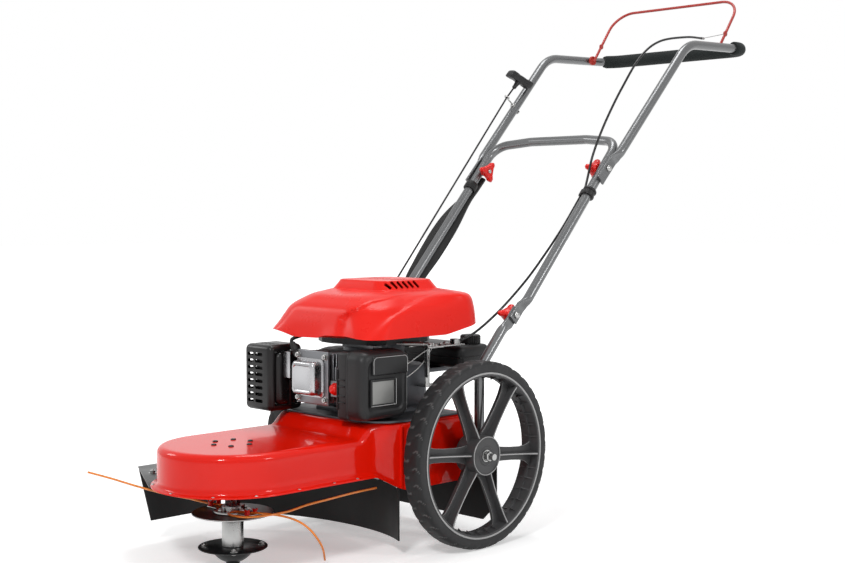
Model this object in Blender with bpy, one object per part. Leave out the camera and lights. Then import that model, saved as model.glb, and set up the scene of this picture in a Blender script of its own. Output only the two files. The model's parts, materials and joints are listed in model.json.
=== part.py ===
"""Walk-behind wheeled string trimmer mower: two large wheels, a steel deck with a trimmer head
in front, a small vertical-shaft petrol engine on top and a folding tube handle.

Metres, +Z up. The machine drives towards -Y and its left side is +X. While it is being
modelled the axle lies at Y = 0 and the ground at Z = 0; the last step moves the whole machine
so that the middle of its bounding box stands on the origin.
"""

from math import asin, atan2, ceil, cos, hypot, pi, radians, sin, sqrt, tan

import bmesh
import bpy
from mathutils import Matrix, Vector

# Clearances
GAP = 0.0003
SIDE_GAP = 0.0005

# Wheels and axle
WHEEL_RADIUS = 0.178
WHEEL_X = 0.200
TYRE_WIDTH = 0.045
TYRE_STEPS = 30
RIM_WIDTH = 0.0446
TYRE_DEPTH = 0.0205
LIP_RADIUS = WHEEL_RADIUS - TYRE_DEPTH
LIP_HEIGHT = 0.0030
LIP_THICKNESS = 0.0023
RIM_WALL = 0.0045
RIM_STEP = 0.0030
SPOKE_COUNT = 6
SPOKE_ANGLE = radians(-5.6)
SPOKE_WIDTH = 0.027
SPOKE_WEB = 0.006
SPOKE_RIB = 0.005
HUB_RADIUS = 0.0375
HUB_PROUD = 0.0025
AXLE_RADIUS = 0.0063
AXLE_SIDES = 12
AXLE_PLAY = 0.0001
AXLE_COLLAR_RADIUS = 0.011
NUT_ACROSS = 0.019
NUT_THICKNESS = 0.009

# Trimmer head, on a vertical spindle in front of the axle
HEAD_Y = -0.425
SPINDLE_SHAFT_RADIUS = 0.010
SPINDLE_SLEEVE_RADIUS = 0.0134
SPINDLE_BOLT_RADIUS = 0.006
SPACER_RADIUS = 0.0193
LINE_DISC_RADIUS = 0.0725
LINE_DISC_Z = 0.1003
LINE_DISC_THICKNESS = 0.0027
LINE_HOLDER_RADIUS = 0.034
LINE_HOLDER_HEIGHT = 0.012
LINE_HOLDER_PLATE = 0.003
GUIDE_POST_RADIUS = 0.003
GUIDE_POST_CIRCLE = 0.054
GUIDE_POST_SPREAD = 0.0085
SKID_DISC_RADIUS = 0.062
SKID_DISC_Z = 0.0390
SKID_DISC_THICKNESS = 0.0025
SKID_CUP_CURVE = 0.042
SKID_CUP_BOTTOM_Z = 0.0116
SKID_CUP_FOOT_RADIUS = 0.0125
SKID_CUP_WALL = 0.0025
SKID_CUP_FLOOR_Z = 0.016
TRIMMER_LINE_RADIUS = 0.002

# Deck
DECK_RADIUS = 0.1325
DECK_TOP_Z = 0.226
DECK_WALL = 0.0025
DECK_FILLET = 0.012
FLANGE_RADIUS = 0.1437
FLANGE_Z = 0.154
FLANGE_THICKNESS = 0.0025
FLANGE_REAR_Y = -0.215
PLATFORM_HALF_WIDTH = 0.160
PLATFORM_FRONT_Y = -0.215
PLATFORM_REAR_Y = 0.0415
PLATFORM_TOP_Z = 0.250
PLATFORM_CORNER = 0.070
PLATFORM_REAR_CORNER = 0.020
PLATFORM_FILLET = 0.010
SKIRT_Z = 0.125
SKIRT_FRONT_Y = -0.150
ENGINE_Y = -0.082

# Guards and flaps
GUARD_WALL_X = -0.2590
GUARD_THICKNESS = 0.0022
GUARD_FOOT_Z = 0.045
GUARD_REAR_Y = -0.262
GUARD_TOP_FRONT_Y = -0.454
GUARD_FOOT_FRONT_Y = -0.427
GUARD_LEAF_RADIUS = 0.118
FLAP_TYRE_GAP = 0.0167
FLAP_RADIUS = hypot(WHEEL_X, -HEAD_Y - WHEEL_RADIUS - FLAP_TYRE_GAP)
FLAP_THICKNESS = 0.003
FLAP_GAP = 0.0008
FLAP_FOOT_Z = 0.030
FLAP_START = radians(61)
FLAP_END = radians(146)
REAR_FLAP_Y = 0.0835
REAR_FLAP_HALF_WIDTH = 0.172
REAR_FLAP_THICKNESS = 0.003
REAR_FLAP_FOOT_Z = 0.030
REAR_FLAP_TOP_Z = 0.150

# Belt drive
PULLEY_Z = 0.178
PULLEY_WIDTH = 0.014
DRIVE_PULLEY_RADIUS = 0.0375
DRIVEN_PULLEY_RADIUS = 0.045
BELT_TOP_WIDTH = 0.0095
BELT_DEPTH = 0.006
GROOVE_CLEARANCE = 0.0008
CRANK_RADIUS = 0.0111

# Engine
CRANKCASE_HALF_WIDTH = 0.075
CRANKCASE_FRONT_Y = -0.157
CRANKCASE_REAR_Y = -0.005
CRANKCASE_TOP_Z = 0.345
FLANGE_PLATE = 0.0035
CYLINDER_Z = 0.328
CYLINDER_HEAD_Y = -0.2400
FIN_COUNT = 5
VALVE_COVER_FRONT_Y = -0.2650
BLOWER_RADIUS = 0.108
BLOWER_LOW_Z = 0.388
BLOWER_TOP_Z = 0.412
BLOWER_WALL = 0.0025
FLYWHEEL_RADIUS = 0.098
VANE_COUNT = 6
COVER_HALF_DEPTH = 0.152
COVER_RIM_Z = 0.405
COVER_RIM_RISE = 0.020
COVER_RISE_START = 0.045
COVER_SHOULDER_Z = 0.488
COVER_TOP_Z = 0.506
COVER_WALL = 0.0025
RECOIL_PLATE_Z = 0.445
REEL_RADIUS = 0.055
REEL_Z = 0.424
ROPE_RADIUS = 0.002
AIR_BOX_FRONT_Y = -0.250
AIR_BOX_REAR_Y = -0.128
AIR_BOX_OUTER_X = 0.150
AIR_BOX_SPLIT_X = 0.108
AIR_BOX_INNER_X = 0.078
AIR_BOX_BOTTOM_Z = 0.258
AIR_BOX_TOP_Z = 0.385
PRIMER_RADIUS = 0.0115
PRIMER_STROKE = 0.005
PRIMER_FACE_Y = -0.2385
PRIMER_Z = 0.3115
SPRING_COIL_RADIUS = 0.0040
SPRING_WIRE_RADIUS = 0.0006
SPRING_TURNS = 5
TANK_LOW_Z = 0.328
TANK_TOP_Z = 0.374
FUEL_NECK_RADIUS = 0.013
FUEL_CAP_RADIUS = 0.0205
CONTROL_X = 0.098
CONTROL_Z = 0.379

# Handle
TUBE_RADIUS = 0.010
TUBE_SIDES = 8
PLATE_HALF_THICKNESS = 0.0025
PLATE_HALF_WIDTH = 0.0135
PLATE_LENGTH = 0.030
BRACKET_X = 0.155
BRACKET_Y = 0.0525
BRACKET_FOOT_Z = 0.140
HANDLE_SLOPE = atan2(1.1146, 1.0)
LOWER_BOLT_Y = 0.143
LOWER_BOLT_Z = 0.433
UPPER_BOLT_Y = 0.407
BOLT_RADIUS = 0.003
BOLT_END_MARGIN = 0.013
CROSSBAR_Y = 0.472
RAIL_Y = 0.671
RAIL_Z = 1.005
RAIL_X = 0.2013
REAR_BAR_Y = 0.908
REAR_BAR_Z = 1.012
RAIL_BEND = 0.045
FOAM_RADIUS = 0.0155
FOAM_PAST_BEND = 0.012
BAIL_X = 0.180
BAIL_PIVOT_Y = 0.825
BAIL_TOP_Y = 0.915
BAIL_RISE = 0.118
BAIL_TOP_Z = REAR_BAR_Z + BAIL_RISE
BAIL_RADIUS = 0.0032
CLAMP_WALL = 0.004
CLAMP_LENGTH = 0.018
SLEEVE_CLAMP_Y = 0.376
# How far up the leg, half width, half depth, and how far outside and behind the tube's centre
SLEEVE_ROWS = ((0.045, 0.011, 0.0070, 0.0060, 0.0090),
               (0.080, 0.019, 0.0085, 0.0070, 0.0075),
               (0.150, 0.024, 0.0085, 0.0070, 0.0075),
               (0.240, 0.023, 0.0085, 0.0070, 0.0075),
               (0.305, 0.016, 0.0075, 0.0045, 0.0095),
               (0.345, 0.0095, 0.0065, 0.0, 0.0150),
               (0.388, 0.0085, 0.0060, 0.0, 0.0178))
CABLE_RADIUS = 0.0025
CABLE_CLAMP_Y = 0.360
KNOB_REACH = 0.025
KNOB_DEPTH = 0.020
KNOB_WING = 0.0032
CABLE_OFFSET = 0.0165
ROPE_SPLIT = 0.55
GRIP_CENTRE = Vector((-0.183, 0.550, 0.945))
GRIP_HALF = 0.0375
GRIP_RADIUS = 0.0110
GUIDE_RING = Vector((-0.187, 0.510, 0.902))
ROPE_OUTLET = Vector((-0.096, 0.052, 0.4765))

BELT_LOW_Z = PULLEY_Z - BELT_TOP_WIDTH / 2

# Pivots that the moving pieces share
AXLE = Vector((0, 0, WHEEL_RADIUS))
HEAD = Vector((0, HEAD_Y, 0))
MUFFLER_LOW = Vector((-0.152, -0.258, 0.268))
MUFFLER_HIGH = Vector((-0.078, -0.200, 0.370))
MUFFLER_EDGE = 0.012
EXHAUST_Y = -0.222
EXHAUST_Z = 0.322
EXHAUST_RADIUS = 0.011
GUARD_PIN_HEIGHTS = (0.290, 0.348)
CRANK = Vector((0, ENGINE_Y, 0))
LOWER_BOLT = Vector((0, LOWER_BOLT_Y, LOWER_BOLT_Z))
UPPER_BOLT = LOWER_BOLT + Vector((0, 1, tan(HANDLE_SLOPE))) * (UPPER_BOLT_Y - LOWER_BOLT_Y)
ALONG_HANDLE = Vector((0, cos(HANDLE_SLOPE), sin(HANDLE_SLOPE)))
MIDDLE_X = BRACKET_X + 2 * TUBE_RADIUS + SIDE_GAP
UPPER_X = MIDDLE_X + 2 * TUBE_RADIUS + SIDE_GAP
RAIL_SLOPE = atan2(REAR_BAR_Z - RAIL_Z, REAR_BAR_Y - RAIL_Y)
BAIL_PIVOT = Vector((0, BAIL_PIVOT_Y, RAIL_Z + (BAIL_PIVOT_Y - RAIL_Y) * tan(RAIL_SLOPE)))

# Looks: linear colour, roughness, metallic
RED_PAINT = ("red_paint", (0.75, 0.015, 0.006), 0.25, 0.1)
RED_COVER = ("red_cover", (0.72, 0.030, 0.022), 0.42, 0.0)
RED_PLASTIC = ("red_plastic", (0.70, 0.020, 0.012), 0.40, 0.0)
BLACK_STEEL = ("black_steel", (0.012, 0.012, 0.013), 0.45, 0.2)
BLACK_PLASTIC = ("black_plastic", (0.020, 0.020, 0.021), 0.50, 0.0)
RIM_GREY = ("rim_grey", (0.065, 0.065, 0.066), 0.45, 0.0)
TYRE_BLACK = ("tyre_black", (0.036, 0.036, 0.037), 0.80, 0.0)
RUBBER = ("rubber", (0.015, 0.015, 0.015), 0.85, 0.0)
FOAM = ("foam", (0.013, 0.017, 0.017), 0.90, 0.0)
BRIGHT_STEEL = ("bright_steel", (0.60, 0.60, 0.60), 0.28, 1.0)
CAST_ALUMINIUM = ("cast_aluminium", (0.55, 0.55, 0.56), 0.40, 0.9)
TUBE_GREY = ("tube_grey", (0.20, 0.20, 0.20), 0.38, 0.7)
LINE_ORANGE = ("line_orange", (0.64, 0.17, 0.02), 0.35, 0.0)
BAIL_RED = ("bail_red", (0.52, 0.036, 0.022), 0.40, 0.0)
ROPE_BLACK = ("rope_black", (0.025, 0.025, 0.025), 0.85, 0.0)


# Building blocks


def clear_scene():
    for thing in list(bpy.data.objects):
        bpy.data.objects.remove(thing, do_unlink=True)


def material_for(look):
    name, colour, roughness, metallic = look
    made = bpy.data.materials.get(name)
    if made:
        return made
    made = bpy.data.materials.new(name)
    made.use_nodes = True
    shader = made.node_tree.nodes["Principled BSDF"]
    shader.inputs["Base Color"].default_value = (*colour, 1)
    shader.inputs["Roughness"].default_value = roughness
    shader.inputs["Metallic"].default_value = metallic
    made.diffuse_color = (*colour, 1)
    return made


def solid(shape, name="shape"):
    """A temporary object from a bmesh, its faces turned outward."""
    bmesh.ops.recalc_face_normals(shape, faces=shape.faces)
    mesh = bpy.data.meshes.new(name)
    shape.to_mesh(mesh)
    shape.free()
    made = bpy.data.objects.new(name, mesh)
    bpy.context.scene.collection.objects.link(made)
    return made


def boolean(target, operation, tools):
    """Joins or cuts target with the tools, which are used up."""
    for tool in tools:
        step = target.modifiers.new(operation.lower(), "BOOLEAN")
        step.operation = operation
        step.object = tool
    bpy.context.view_layer.update()
    graph = bpy.context.evaluated_depsgraph_get()
    mesh = bpy.data.meshes.new_from_object(target.evaluated_get(graph))
    target.modifiers.clear()
    target.data = mesh
    for tool in tools:
        bpy.data.objects.remove(tool, do_unlink=True)
    return target


def join(target, *tools):
    return boolean(target, "UNION", tools)


def cut(target, *tools):
    return boolean(target, "DIFFERENCE", tools)


def finish(made, name, look, pivot=Vector((0, 0, 0)), sharp=35):
    """Names the piece, gives it its look and puts its origin on its pivot."""
    made.name = name
    made.data.name = name
    made.data.transform(Matrix.Translation(-pivot))
    made.location = pivot
    made.parent = bpy.data.objects["machine"]
    made.data.materials.clear()
    made.data.materials.append(material_for(look))
    made.data.shade_smooth()
    made.data.set_sharp_from_angle(angle=radians(sharp))
    return made


def skin(rings, closed=False):
    """A bmesh through rings of equal length; open ends are filled, a closed run joins up."""
    shape = bmesh.new()
    rows = [[shape.verts.new(point) for point in ring] for ring in rings]
    pairs = list(zip(rows, rows[1:]))
    if closed:
        pairs.append((rows[-1], rows[0]))
    for first, second in pairs:
        for i in range(len(first)):
            j = (i + 1) % len(first)
            shape.faces.new((first[i], first[j], second[j], second[i]))
    if not closed:
        shape.faces.new(rows[0])
        shape.faces.new(rows[-1])
    return solid(shape)


def frame_for(axis):
    """Two unit vectors square to the axis."""
    axis = Vector(axis).normalized()
    side = Vector((0, 0, 1)) if abs(axis.z) < 0.9 else Vector((1, 0, 0))
    first = side.cross(axis).normalized()
    return first, axis.cross(first)


def turned(profile, centre, axis="Z", steps=32, ring=False, start=0.0):
    """Turns (radius, height) points round an axis; with ring the profile closes on itself."""
    directions = {"X": (1, 0, 0), "Y": (0, 1, 0), "Z": (0, 0, 1)}
    along = Vector(directions[axis]) if isinstance(axis, str) else Vector(axis).normalized()
    first, second = frame_for(along)
    shape = bmesh.new()
    rows = []
    for radius, height in profile:
        middle = Vector(centre) + along * height
        if radius == 0:
            rows.append([shape.verts.new(middle)])
            continue
        angles = [start + 2 * pi * i / steps for i in range(steps)]
        rows.append([shape.verts.new(middle + radius * (cos(a) * first + sin(a) * second)) for a in angles])
    pairs = list(zip(rows, rows[1:]))
    if ring:
        pairs.append((rows[-1], rows[0]))
    for low, high in pairs:
        for i in range(steps):
            j = (i + 1) % steps
            corners = [low[i % len(low)], low[j % len(low)], high[j % len(high)], high[i % len(high)]]
            shape.faces.new(list(dict.fromkeys(corners)))
    if not ring:
        for row in (rows[0], rows[-1]):
            if len(row) > 1:
                shape.faces.new(row)
    return solid(shape)


def rod(start, end, radius, steps=10):
    start, end = Vector(start), Vector(end)
    return turned([(radius, 0), (radius, (end - start).length)], start, end - start, steps)


def prism(outline, low, high):
    """An upright prism over an XY outline."""
    shape = bmesh.new()
    bottom = [shape.verts.new((x, y, low)) for x, y in outline]
    top = [shape.verts.new((x, y, high)) for x, y in outline]
    for i in range(len(outline)):
        j = (i + 1) % len(outline)
        shape.faces.new((bottom[i], bottom[j], top[j], top[i]))
    shape.faces.new(bottom)
    shape.faces.new(top)
    return solid(shape)


def side_prism(outline, low, high):
    """A prism along X over a (y, z) outline."""
    made = prism(outline, low, high)
    made.data.transform(Matrix(((0, 0, 1, 0), (1, 0, 0, 0), (0, 1, 0, 0), (0, 0, 0, 1))))
    return made


def block(low, high, bevel=0.0, segments=2):
    """A box between two corners, all its edges rounded by the bevel."""
    low, high = Vector(low), Vector(high)
    shape = bmesh.new()
    bmesh.ops.create_cube(shape, size=1)
    bmesh.ops.scale(shape, vec=high - low, verts=shape.verts)
    bmesh.ops.translate(shape, vec=(low + high) / 2, verts=shape.verts)
    if bevel:
        bmesh.ops.bevel(shape, geom=shape.edges, offset=bevel, segments=segments, profile=0.5, affect="EDGES")
    return solid(shape)


def bent(corners, radius, steps=4):
    """The points of a tube's centre line, with an arc of the given radius at each corner."""
    corners = [Vector(corner) for corner in corners]
    points = [corners[0]]
    for before, corner, after in zip(corners, corners[1:], corners[2:]):
        into = (before - corner).normalized()
        out = (after - corner).normalized()
        turn = pi - into.angle(out)
        reach = radius * tan(turn / 2)
        middle = corner + (into + out).normalized() * (radius / cos(turn / 2))
        first, last = corner + into * reach - middle, corner + out * reach - middle
        for i in range(steps + 1):
            share = i / steps
            ahead = first * sin((1 - share) * turn) + last * sin(share * turn)
            points.append(middle + ahead / sin(turn))
    points.append(corners[-1])
    return points


def smooth_route(points, spacing):
    """Evenly spaced points on a Catmull-Rom curve through the route's own points."""
    points = [Vector(point) for point in points]
    padded = [2 * points[0] - points[1], *points, 2 * points[-1] - points[-2]]
    route = [points[0]]
    for a, b, c, d in zip(padded, padded[1:], padded[2:], padded[3:]):
        count = max(1, ceil((c - b).length / spacing))
        for i in range(1, count + 1):
            t = i / count
            route.append(
                0.5 * (2 * b + (c - a) * t + (2 * a - 5 * b + 4 * c - d) * t**2
                       + (3 * b - a - 3 * c + d) * t**3)
            )
    return route


def cord(name, points, radius, look, spacing):
    """A cord along its route, as a bevelled curve with filled caps."""
    curve = bpy.data.curves.new(name, "CURVE")
    curve.dimensions = "3D"
    curve.bevel_depth = radius
    curve.bevel_resolution = 2
    curve.use_fill_caps = True
    route = smooth_route(points, spacing)
    spline = curve.splines.new("POLY")
    spline.points.add(len(route) - 1)
    for point, place in zip(spline.points, route):
        point.co = (*place, 1)
    curve.materials.append(material_for(look))
    made = bpy.data.objects.new(name, curve)
    made.parent = bpy.data.objects["machine"]
    bpy.context.scene.collection.objects.link(made)
    return made


def sections(points, side):
    """The tube frames along a path: each point with its side and its normal direction."""
    frames = []
    for i, point in enumerate(points):
        before, after = points[max(i - 1, 0)], points[min(i + 1, len(points) - 1)]
        along = (after - before).normalized()
        side = (side - along * side.dot(along)).normalized()
        frames.append((point, side, along.cross(side)))
    return frames


def tube(points, radius, sides=TUBE_SIDES, side=Vector((1, 0, 0)), shapes=None):
    """A round bar along points; shapes gives (shift, half side, half normal) where it is pressed flat."""
    rings = []
    for i, (point, across, normal) in enumerate(sections(points, side)):
        shift, half_side, half_normal = shapes[i] if shapes and shapes[i] else (0, radius, radius)
        ring = []
        for k in range(sides):
            angle = 2 * pi * (k + 0.5) / sides
            u, v = cos(angle), sin(angle)
            if half_side < radius:
                u = max(-1, min(1, 2.5 * u))
            ring.append(point + across * (shift + half_side * u) + normal * (half_normal * v))
        rings.append(ring)
    return skin(rings)


def rounded_rectangle(half_x, half_y, corner, centre=(0, 0), steps=4):
    """Outline points of a rectangle with round corners, counter-clockwise."""
    points = []
    for sign_x, sign_y, start in ((1, 1, 0), (-1, 1, 90), (-1, -1, 180), (1, -1, 270)):
        for i in range(steps + 1):
            angle = radians(start + 90 * i / steps)
            x = centre[0] + sign_x * (half_x - corner) + corner * cos(angle)
            y = centre[1] + sign_y * (half_y - corner) + corner * sin(angle)
            points.append((x, y))
    return points


def dome_outline(radius, rear_y, steps=16):
    """The deck's outline: a half circle round the head and straight sides back to rear_y."""
    points = [(radius, rear_y), (-radius, rear_y)]
    for i in range(steps + 1):
        angle = pi + pi * i / steps
        points.append((radius * cos(angle), HEAD_Y + radius * sin(angle)))
    return points


def arc_wall(radius, thickness, start, end, low, high, steps=24):
    """An upright curved wall round the head's axis."""
    rings = []
    for i in range(steps + 1):
        angle = start + (end - start) * i / steps
        near = HEAD + radius * Vector((cos(angle), sin(angle), 0))
        far = HEAD + (radius + thickness) * Vector((cos(angle), sin(angle), 0))
        up = Vector((0, 0, 1))
        rings.append([near + up * low, far + up * low, far + up * high, near + up * high])
    return skin(rings)


# Wheels


def wheel(side, name):
    centre = AXLE + Vector((side * WHEEL_X, 0, 0))
    outward = Vector((side, 0, 0))
    half_tyre, half_rim = TYRE_WIDTH / 2, RIM_WIDTH / 2
    seat = LIP_RADIUS - LIP_HEIGHT
    inside = half_rim - LIP_THICKNESS
    shoulder = inside - GAP
    tread = [
        (seat + GAP, -shoulder),
        (LIP_RADIUS + GAP, -shoulder),
        (WHEEL_RADIUS - 0.012, -half_tyre),
        (WHEEL_RADIUS, -half_tyre + 0.008),
        (WHEEL_RADIUS, half_tyre - 0.008),
        (WHEEL_RADIUS - 0.012, half_tyre),
        (LIP_RADIUS + GAP, shoulder),
        (seat + GAP, shoulder),
    ]
    tyre = turned(tread, centre, outward, TYRE_STEPS, ring=True)
    finish(tyre, name + "_tyre", TYRE_BLACK, centre)
    barrel = seat - RIM_WALL
    band = [
        (LIP_RADIUS, -half_rim),
        (LIP_RADIUS, -inside),
        (seat, -inside),
        (seat, inside),
        (LIP_RADIUS, inside),
        (LIP_RADIUS, half_rim),
        (barrel, half_rim),
        (barrel, SPOKE_WEB / 2),
        (barrel - RIM_STEP, SPOKE_WEB / 2),
        (barrel - RIM_STEP, -half_rim),
    ]
    rim = turned(band, centre, outward, TYRE_STEPS, ring=True)
    pieces = [turned([(HUB_RADIUS, -half_rim), (HUB_RADIUS, half_rim + HUB_PROUD)], centre, outward, 14)]
    for i in range(SPOKE_COUNT):
        pieces.append(spoke(centre, side, SPOKE_ANGLE + 2 * pi * i / SPOKE_COUNT, barrel, half_rim))
    join(rim, *pieces)
    dish = [(HUB_RADIUS - 0.0035, half_rim + HUB_PROUD - 0.002), (HUB_RADIUS - 0.0035, half_rim + 0.01)]
    bore_radius = (AXLE_RADIUS + AXLE_PLAY) / cos(pi / AXLE_SIDES)
    bore = rod(centre - outward * 0.06, centre + outward * 0.06, bore_radius, AXLE_SIDES)
    cut(rim, turned(dish, centre, outward, 14), bore)
    finish(rim, name + "_rim", RIM_GREY, centre)


def in_wheel(centre, side, angle, radius, across, out):
    """A point of the wheel from its angle, radius, tangential offset and outboard offset."""
    radial = Vector((0, cos(angle), sin(angle)))
    tangent = Vector((0, -sin(angle), cos(angle)))
    return centre + radial * radius + tangent * across + Vector((side * out, 0, 0))


def spoke(centre, side, angle, barrel, half_rim):
    """A flat web flared at both ends, with a rib over the wheel's full width on its middle line."""
    half = SPOKE_WIDTH / 2
    inner, outer = HUB_RADIUS - 0.004, barrel + 0.001
    edge = [(inner, half * 1.15), (inner + 0.02, half), (outer - 0.022, half), (outer, half * 1.9)]
    outline = edge + [(radius, -across) for radius, across in reversed(edge)]
    rings = []
    for out in (-SPOKE_WEB / 2, SPOKE_WEB / 2 - 0.0005):
        rings.append([in_wheel(centre, side, angle, r, a, out) for r, a in outline])
    web = skin(rings)
    rib_rings = []
    for radius in (inner, outer):
        reach = half_rim - 0.0015
        corners = [(-1, -reach), (1, -reach), (1, reach), (-1, reach)]
        rib_rings.append([in_wheel(centre, side, angle, radius, SPOKE_RIB / 2 * a, out) for a,
                          out in corners])
    return join(web, skin(rib_rings))


def hexagon_nut(centre, axis, across, thickness):
    radius = across / sqrt(3)
    return turned([(radius, 0), (radius, thickness)], centre, axis, 6)


def axle():
    """The axle rod, with a collar inside and a nut outside each wheel."""
    inner = WHEEL_X - RIM_WIDTH / 2 - GAP
    outer = WHEEL_X + RIM_WIDTH / 2 + HUB_PROUD
    washer_out = outer - 0.002 + GAP
    reach = washer_out + 0.0015
    made = rod(AXLE - Vector((reach + NUT_THICKNESS + 0.004, 0, 0)),
               AXLE + Vector((reach + NUT_THICKNESS + 0.004, 0, 0)), AXLE_RADIUS, AXLE_SIDES)
    pieces = []
    for side in (1, -1):
        out = Vector((side, 0, 0))
        collar_start = AXLE + out * (PLATFORM_HALF_WIDTH + GAP)
        pieces.append(rod(collar_start, AXLE + out * inner, AXLE_COLLAR_RADIUS, 8))
        pieces.append(rod(AXLE + out * washer_out, AXLE + out * reach, NUT_ACROSS * 0.62, 8))
        pieces.append(hexagon_nut(AXLE + out * (reach - 0.0002), out, NUT_ACROSS, NUT_THICKNESS))
    join(made, *pieces)
    finish(made, "axle", BRIGHT_STEEL, AXLE)


# Deck, guards and flaps


def rounded_prism(outline_at, low, high, fillet, steps=3):
    """An upright solid over an outline that draws in towards the top along a round edge."""
    rings = [[Vector((x, y, low)) for x, y in outline_at(0)]]
    for i in range(steps + 1):
        angle = pi / 2 * i / steps
        z = high - fillet * (1 - sin(angle))
        rings.append([Vector((x, y, z)) for x, y in outline_at(fillet * (1 - cos(angle)))])
    return skin(rings)


def deck_shell(inset):
    """The solid shape of the deck's front and of its platform, drawn in by the inset."""
    deeper = 0.01 if inset else 0.0
    rear_y = PLATFORM_FRONT_Y + 0.04 + deeper
    front = rounded_prism(lambda more: dome_outline(DECK_RADIUS - inset - more, rear_y),
                          FLANGE_Z + 0.001 - 2 * deeper, DECK_TOP_Z - inset, DECK_FILLET - inset)
    rear = rounded_prism(lambda more: platform_outline(inset + more),
                         SKIRT_Z - deeper, PLATFORM_TOP_Z - inset, PLATFORM_FILLET - inset)
    return front, rear


def deck():
    """The pressed shell: dome, flange, raised platform, skirt and the wall that carries the flap."""
    made, rear = deck_shell(0)
    slope = [(-0.30, SKIRT_Z - 0.02), (SKIRT_FRONT_Y, SKIRT_Z - 0.02), (SKIRT_FRONT_Y, SKIRT_Z),
             (FLANGE_REAR_Y + 0.006, FLANGE_Z + 0.001), (-0.30, FLANGE_Z + 0.001)]
    cut(rear, side_prism(slope, -0.2, 0.2))
    flange = prism(dome_outline(FLANGE_RADIUS, FLANGE_REAR_Y), FLANGE_Z, FLANGE_Z + FLANGE_THICKNESS)
    join(made, rear, flange)
    cut(made, *deck_shell(DECK_WALL))
    inner_wall = arc_wall(FLAP_RADIUS + FLAP_THICKNESS + FLAP_GAP, DECK_WALL, radians(59.2), radians(120.8),
                          SKIRT_Z + 0.004, PLATFORM_TOP_Z - 0.001, 12)
    cut(inner_wall, block((-0.065, -0.2, BELT_LOW_Z - 0.01), (0.065, -0.05, 0.26)))
    join(made, inner_wall)
    reach = Vector((PLATFORM_HALF_WIDTH + 0.04, 0, 0))
    axle_bore = rod(AXLE - reach, AXLE + reach, AXLE_RADIUS + GAP, 12)
    crank_hole = rod(CRANK + Vector((0, 0, 0.22)), CRANK + Vector((0, 0, 0.27)), CRANK_RADIUS + 0.012, 16)
    cut(made, axle_bore, crank_hole)
    finish(made, "deck", RED_PAINT)


def platform_outline(inset, steps=3):
    """The engine platform's outline, with wide front corners and small rear ones."""
    half_width = PLATFORM_HALF_WIDTH - inset
    front, rear = PLATFORM_FRONT_Y + inset, PLATFORM_REAR_Y - inset
    points = []
    for sign_x, y, towards, start in ((1, rear, -1, 0), (-1, rear, -1, 90), (-1, front, 1, 180),
                                      (1, front, 1, 270)):
        radius = (PLATFORM_REAR_CORNER if y == rear else PLATFORM_CORNER) - inset
        for i in range(steps + 1):
            angle = radians(start + 90 * i / steps)
            x = sign_x * (half_width - radius) + radius * cos(angle)
            points.append((x, y + towards * radius + radius * sin(angle)))
    return points


def side_guard():
    """The cutting guard on the right: a flange bolted under the deck's and a hanging wall."""
    top = FLANGE_Z - GAP
    low = top - GUARD_THICKNESS
    outline = [(-0.075, -0.550), (GUARD_WALL_X, -0.454), (GUARD_WALL_X, GUARD_REAR_Y), (-0.118, GUARD_REAR_Y)]
    for i in range(9):
        angle = radians(180 + 62 * i / 8)
        outline.append((GUARD_LEAF_RADIUS * cos(angle), HEAD_Y + GUARD_LEAF_RADIUS * sin(angle)))
    plate = prism(outline, low, top)
    wall = side_prism([(GUARD_TOP_FRONT_Y, top), (GUARD_FOOT_FRONT_Y, GUARD_FOOT_Z),
                       (GUARD_REAR_Y, GUARD_FOOT_Z), (GUARD_REAR_Y, top)],
                      GUARD_WALL_X, GUARD_WALL_X + GUARD_THICKNESS)
    join(plate, wall)
    finish(plate, "side_guard", BLACK_STEEL)


def debris_flap():
    """The curved rubber flap behind the head, clamped to the deck's inner wall."""
    made = arc_wall(FLAP_RADIUS, FLAP_THICKNESS, FLAP_START, FLAP_END, FLAP_FOOT_Z, FLANGE_Z - 0.004, 22)
    notch = block((-0.3, -0.3, SKIRT_Z - 0.0025), (-(PLATFORM_HALF_WIDTH - 0.012), 0, 0.2))
    cut(made, notch)
    finish(made, "debris_flap", RUBBER)


def rear_flap():
    """The flat rubber flap across the back, hung on the two handle brackets."""
    half = REAR_FLAP_HALF_WIDTH
    outline = [(-half, REAR_FLAP_TOP_Z), (-half, REAR_FLAP_FOOT_Z + 0.035), (-half + 0.036, REAR_FLAP_FOOT_Z),
               (half - 0.036, REAR_FLAP_FOOT_Z), (half, REAR_FLAP_FOOT_Z + 0.035), (half, REAR_FLAP_TOP_Z)]
    made = prism(outline, 0, REAR_FLAP_THICKNESS)
    rear = REAR_FLAP_Y + REAR_FLAP_THICKNESS
    made.data.transform(Matrix(((1, 0, 0, 0), (0, 0, -1, rear), (0, 1, 0, 0), (0, 0, 0, 1))))
    finish(made, "rear_flap", RUBBER)


# Trimmer head and belt drive


def bored(profile, bore, centre, steps=16):
    """A turned piece with a straight bore; the profile gives its outer points from the bottom up."""
    low, high = profile[0][1], profile[-1][1]
    return turned([(bore, low), *profile, (bore, high)], centre, "Z", steps, ring=True)


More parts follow.
